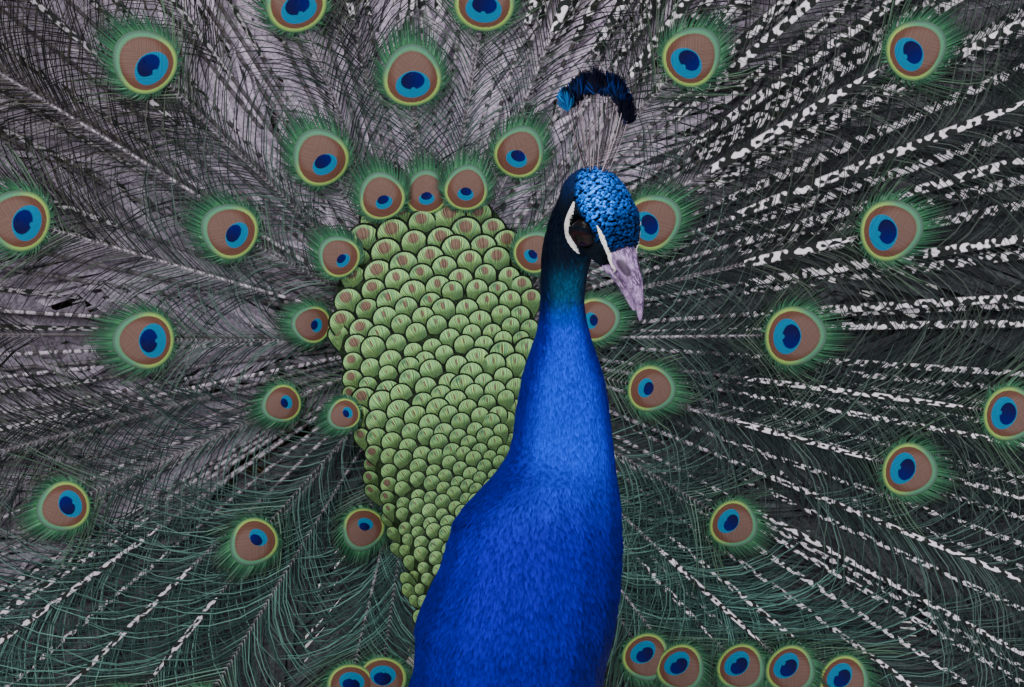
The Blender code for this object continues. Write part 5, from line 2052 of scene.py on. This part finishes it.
class PEACOCK_OT_tail(bpy.types.Operator):
    """Stiff brown tail feathers that hold the train up from behind"""
    bl_idname = "peacock.tail"
    bl_label = "Tail"

    FEATHERS = 20
    HALF_SPREAD = radians(64)

    def execute(self, context):
        low, high = (np.array(corner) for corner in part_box("tail"))
        root = np.array((0.0, 0.19, 0.4))
        length = high[2] - root[2] - 0.004
        turns = np.linspace(-1, 1, self.FEATHERS) * self.HALF_SPREAD
        order = np.abs(np.linspace(-1, 1, self.FEATHERS))
        aim = np.stack([np.sin(turns), np.full(self.FEATHERS, 0.012), np.cos(turns)], axis=1)
        start = root + 0.012 * aim
        start[:, 1] = root[1] + 0.0008 + 0.0035 * order
        reach = np.full(self.FEATHERS, length) * (1 - 0.03 * order)
        form = vane_form(7, 12, (0.16, 0.26, 0.4, 0.54, 0.68, 0.8, 0.9, 0.97, 1.0, 0.97, 0.8, 0.3), 0.03)
        made = copies(form, start, aim, np.tile((0, 1.0, 0), (self.FEATHERS, 1)), reach,
                      np.full(self.FEATHERS, 0.0245), np.full(self.FEATHERS, 0.1))
        finish = quill_material("tail_quills", (0.105, 0.07, 0.045), (0.05, 0.032, 0.022), (0.2, 0.155, 0.11))
        cell = np.stack([np.linspace(0.04, 0.96, self.FEATHERS), np.full(self.FEATHERS, 0.5)], axis=1)
        tail = add_copies("tail_quills", made, cell, finish, (0.042, 0.9),
                          tint=np.random.RandomState(81).rand(self.FEATHERS))
        apply_modifier(tail, "SOLIDIFY", thickness=0.0008, offset=0.0)
        settle(tail, "tail_feathers", "tail")
        return {"FINISHED"}


# ---- legs ------------------------------------------------------------------------------------

class PEACOCK_OT_legs(bpy.types.Operator):
    """Scaled shanks with spurs, and toes with claws"""
    bl_idname = "peacock.legs"
    bl_label = "Legs"

    SHANK_HALF = (0.0078, 0.0056, 0.0049, 0.0052, 0.0064)
    TOES = ((4, 0.078), (-34, 0.062), (42, 0.060), (172, 0.034))
    CLAW = 0.017

    def execute(self, context):
        scutes, claw_horn = self.scute_material(), self.claw_material()
        for side, hand in (("left", 1), ("right", -1)):
            shank = self.shank(side, hand)
            shank.data.materials.append(scutes)
            settle(shank, "leg_scutes", f"shank_{side}")
            foot, claws = self.foot(side, hand)
            foot.data.materials.append(scutes)
            claws.data.materials.append(claw_horn)
            settle(foot, "leg_scutes", f"foot_{side}")
            settle(claws, "leg_scutes")
        return {"FINISHED"}

    def ends(self, side):
        """Top of the shank in the thigh, and the ankle, from the solids."""
        shank = node_points(f"shank_{side}")
        top = shank[shank[:, 2] > shank[:, 2].max() - 0.006].mean(axis=0)
        low = shank[shank[:, 2] < shank[:, 2].min() + 0.002].mean(axis=0)
        return Vector(top), Vector(low)

    def scuted(self, length, halves, plates, depth):
        """Rows of a tube with a low step at each plate."""
        rows = []
        count = plates * 4
        for index in range(count + 1):
            share = index / count
            half = np.interp(share, np.linspace(0, 1, len(halves)), halves)
            lift = depth * (0.0, 1.0, 0.85, 0.55)[index % 4]
            rows.append((length * share, 0.0, half + lift, half + lift))
        return rows

    def along(self, start, end):
        """Matrix that turns -Y to the way from start to end."""
        aim = (end - start).normalized()
        return Matrix.Translation(start) @ (-aim).to_track_quat("Y", "Z").to_matrix().to_4x4()

    def shank(self, side, hand):
        top, ankle = self.ends(side)
        top = top + (top - ankle).normalized() * 0.006
        length = (ankle - top).length + 0.006
        rows = self.scuted(length, self.SHANK_HALF, 22, 0.00045)
        shank = draw_out(f"shank_scales_{side}", rows, 20, self.along(top, ankle))
        root = top.lerp(ankle, 0.64)
        aim = Vector((-0.35 * hand, 1.0, 0.25)).normalized()
        spur_halves = ((0, 0.0034), (0.3, 0.003), (0.55, 0.0024), (0.8, 0.0015), (1, 0.0005))
        spur_rows = [(0.02 * share, 0.0022 * share**2, half, half) for share, half in spur_halves]
        spur = draw_out(f"spur_{side}", smooth_rows(spur_rows, 2), 12, self.along(root, root + aim))
        made = join_pieces(f"shank_scales_{side}", [shank, spur])
        made.data.shade_smooth()
        return made

    def foot(self, side, hand):
        _, ankle = self.ends(side)
        middle = Vector((ankle.x, ankle.y, 0.0))
        pieces, claws = [], []
        pad_halves = ((0.0005, 0.0072), (0.0065, 0.0082), (0.0125, 0.0098), (0.0185, 0.011),
                      (0.0225, 0.0108), (0.024, 0.009))
        pad_rows = [(down, 0.0, half, half) for down, half in pad_halves]
        top = middle + Vector((0, 0, 0.0245))
        pieces.append(draw_out(f"pad_{side}", smooth_rows(pad_rows, 2), 20, self.along(top, middle)))
        for number, (turn, length) in enumerate(self.TOES):
            aim = Vector((sin(radians(turn)) * hand, -cos(radians(turn)), 0))
            toe_length = length - self.CLAW * 0.8
            rows = self.toe_rows(toe_length)
            place = Matrix.Translation(middle) @ aim.to_track_quat("-Y", "Z").to_matrix().to_4x4()
            pieces.append(draw_out(f"toe_{side}_{number}", rows, 16, place))
            claws.append(draw_out(f"claw_{side}_{number}", self.claw_rows(toe_length), 12, place))
        foot = join_pieces(f"foot_scales_{side}", pieces)
        set_points(foot.data, above_floor(numbers(foot.data.vertices, "co"), 0.0002))
        foot.data.shade_smooth()
        claws = join_pieces(f"claws_{side}", claws)
        claws.data.shade_smooth()
        return foot, claws

    def toe_rows(self, length):
        """Joints swell along a toe, with a low step at each plate."""
        rows = []
        count = int(length / 0.0011)
        for index in range(count + 1):
            share = index / count
            half = 0.006 - 0.0026 * share
            half *= 1 + 0.1 * cos(share * 3 * 2 * pi)
            half += 0.0003 * (0.0, 1.0, 0.5)[index % 3]
            if share > 0.93:
                half *= 1 - 3.5 * (share - 0.93)
            rows.append((0.002 + (length - 0.002) * share, half * 0.86, half, half * 0.86))
        return rows

    def claw_rows(self, start):
        rows = []
        for share in np.linspace(0, 1, 9):
            half = 0.0026 * (1 - share)**0.7 + 0.00025
            rise = 0.0034 + 0.0012 * sin(share * pi) - 0.003 * share**1.5
            rows.append((start - 0.003 + self.CLAW * share, max(rise, half + 0.0002), half * 0.8, half))
        return rows

    def scute_material(self):
        look = Finish("leg_scutes_finish", 0.5, specular=0.4)
        place = look.place()
        cells = new_node("ShaderNodeTexVoronoi", (place, 420.0), ("Vector", "Scale"), "Distance",
                         feature="DISTANCE_TO_EDGE")
        tone = noise(place, 70.0, 3.0)
        colour = mix(tone, (0.17, 0.145, 0.125), (0.34, 0.29, 0.25))
        gap = spread(cells, 0.0, 0.12)
        look.colour(mix(gap, (0.07, 0.058, 0.05), colour))
        look.bump(gap, 0.6, 0.0005)
        return look.made

    def claw_material(self):
        look = Finish("claw_horn", 0.35, specular=0.5)
        tone = noise(look.place(), 260.0, 3.0)
        look.colour(mix(tone, (0.035, 0.028, 0.026), (0.13, 0.1, 0.085)))
        look.bump(tone, 0.3, 0.0003)
        return look.made


# ---- stage ------------------------------------------------------------------------------------

class PEACOCK_OT_stage(bpy.types.Operator):
    """Pale floor, soft studio light and the camera"""
    bl_idname = "peacock.stage"
    bl_label = "Stage"

    # Name, place, what it looks at, size, power and colour of each soft light.
    LIGHTS = (
        ("key_light", (-1.5, -2.3, 2.3), (0.0, 0.0, 0.62), 1.6, 115.0, (1.0, 0.985, 0.97)),
        ("fill_light", (2.4, -1.9, 1.3), (0.0, 0.0, 0.6), 2.2, 34.0, (0.93, 0.96, 1.0)),
        ("top_light", (0.0, -0.5, 3.2), (0.0, 0.1, 0.6), 2.4, 64.0, (1.0, 1.0, 1.0)),
        ("back_light", (0.3, 3.0, 2.2), (0.0, 0.1, 0.7), 2.6, 40.0, (1.0, 1.0, 1.0)),
    )

    def execute(self, context):
        self.floor()
        self.lights(context)
        data = bpy.data.cameras.new("camera")
        data.lens = 85.0
        camera = bpy.data.objects.new("camera", data)
        context.scene.collection.objects.link(camera)
        camera.location = (-0.2594, -1.4736, 0.9221)
        camera.rotation_euler = (radians(78), 0.0, radians(-11))
        context.scene.camera = camera
        return {"FINISHED"}

    def floor(self):
        select()
        bpy.ops.mesh.primitive_plane_add(size=14.0, location=(0, 0, -0.0005))
        floor = bpy.context.object
        floor.name = "floor"
        bpy.ops.object.transform_apply()
        look = Finish("floor_finish", 0.7, specular=0.2)
        tone = noise(look.place(), 3.0, 4.0)
        look.colour(mix(tone, (0.6, 0.59, 0.58), (0.66, 0.65, 0.64)))
        floor.data.materials.append(look.made)

    def lights(self, context):
        for name, place, target, size, power, colour in self.LIGHTS:
            data = bpy.data.lights.new(name, "AREA")
            data.shape = "DISK"
            data.size = size
            data.energy = power
            data.color = colour
            light = bpy.data.objects.new(name, data)
            context.scene.collection.objects.link(light)
            light.location = place
            aim = Vector(target) - Vector(place)
            light.rotation_euler = aim.to_track_quat("-Z", "Y").to_euler()
        world = bpy.data.worlds.new("studio")
        world.use_nodes = True
        world.node_tree.nodes["Background"].inputs["Color"].default_value = (0.2, 0.195, 0.21, 1.0)
        world.node_tree.nodes["Background"].inputs["Strength"].default_value = 1.0
        context.scene.world = world


# ---- panel and registration ----------------------------------------------------------------------

OPERATORS = (
    PEACOCK_OT_stage, PEACOCK_OT_skin, PEACOCK_OT_blue_plumage, PEACOCK_OT_head_plumage,
    PEACOCK_OT_under_plumage, PEACOCK_OT_bare_skin, PEACOCK_OT_eyes, PEACOCK_OT_bill,
    PEACOCK_OT_crest, PEACOCK_OT_shield, PEACOCK_OT_train_shafts, PEACOCK_OT_train_barbs,
    PEACOCK_OT_train_eyes, PEACOCK_OT_wings, PEACOCK_OT_tail, PEACOCK_OT_legs,
)


class PEACOCK_PT_panel(bpy.types.Panel):
    bl_label = "Peacock"
    bl_idname = "PEACOCK_PT_panel"
    bl_space_type = "VIEW_3D"
    bl_region_type = "UI"
    bl_category = "Peacock"

    def draw(self, context):
        for settings in (context.scene.peacock_sizes, context.scene.peacock_colours):
            for name in settings.__annotations__:
                self.layout.prop(settings, name)
        for operator in OPERATORS:
            self.layout.operator(operator.bl_idname)


CLASSES = (PeacockSizes, PeacockColours, *OPERATORS, PEACOCK_PT_panel)


def register():
    for item in CLASSES:
        bpy.utils.register_class(item)
    bpy.types.Scene.peacock_sizes = PointerProperty(type=PeacockSizes)
    bpy.types.Scene.peacock_colours = PointerProperty(type=PeacockColours)


def unregister():
    del bpy.types.Scene.peacock_colours
    del bpy.types.Scene.peacock_sizes
    for item in reversed(CLASSES):
        bpy.utils.unregister_class(item)


def main():
    register()
    for operator in OPERATORS:
        group, name = operator.bl_idname.split(".")
        getattr(getattr(bpy.ops, group), name)()


if __name__ == "__main__":
    main()
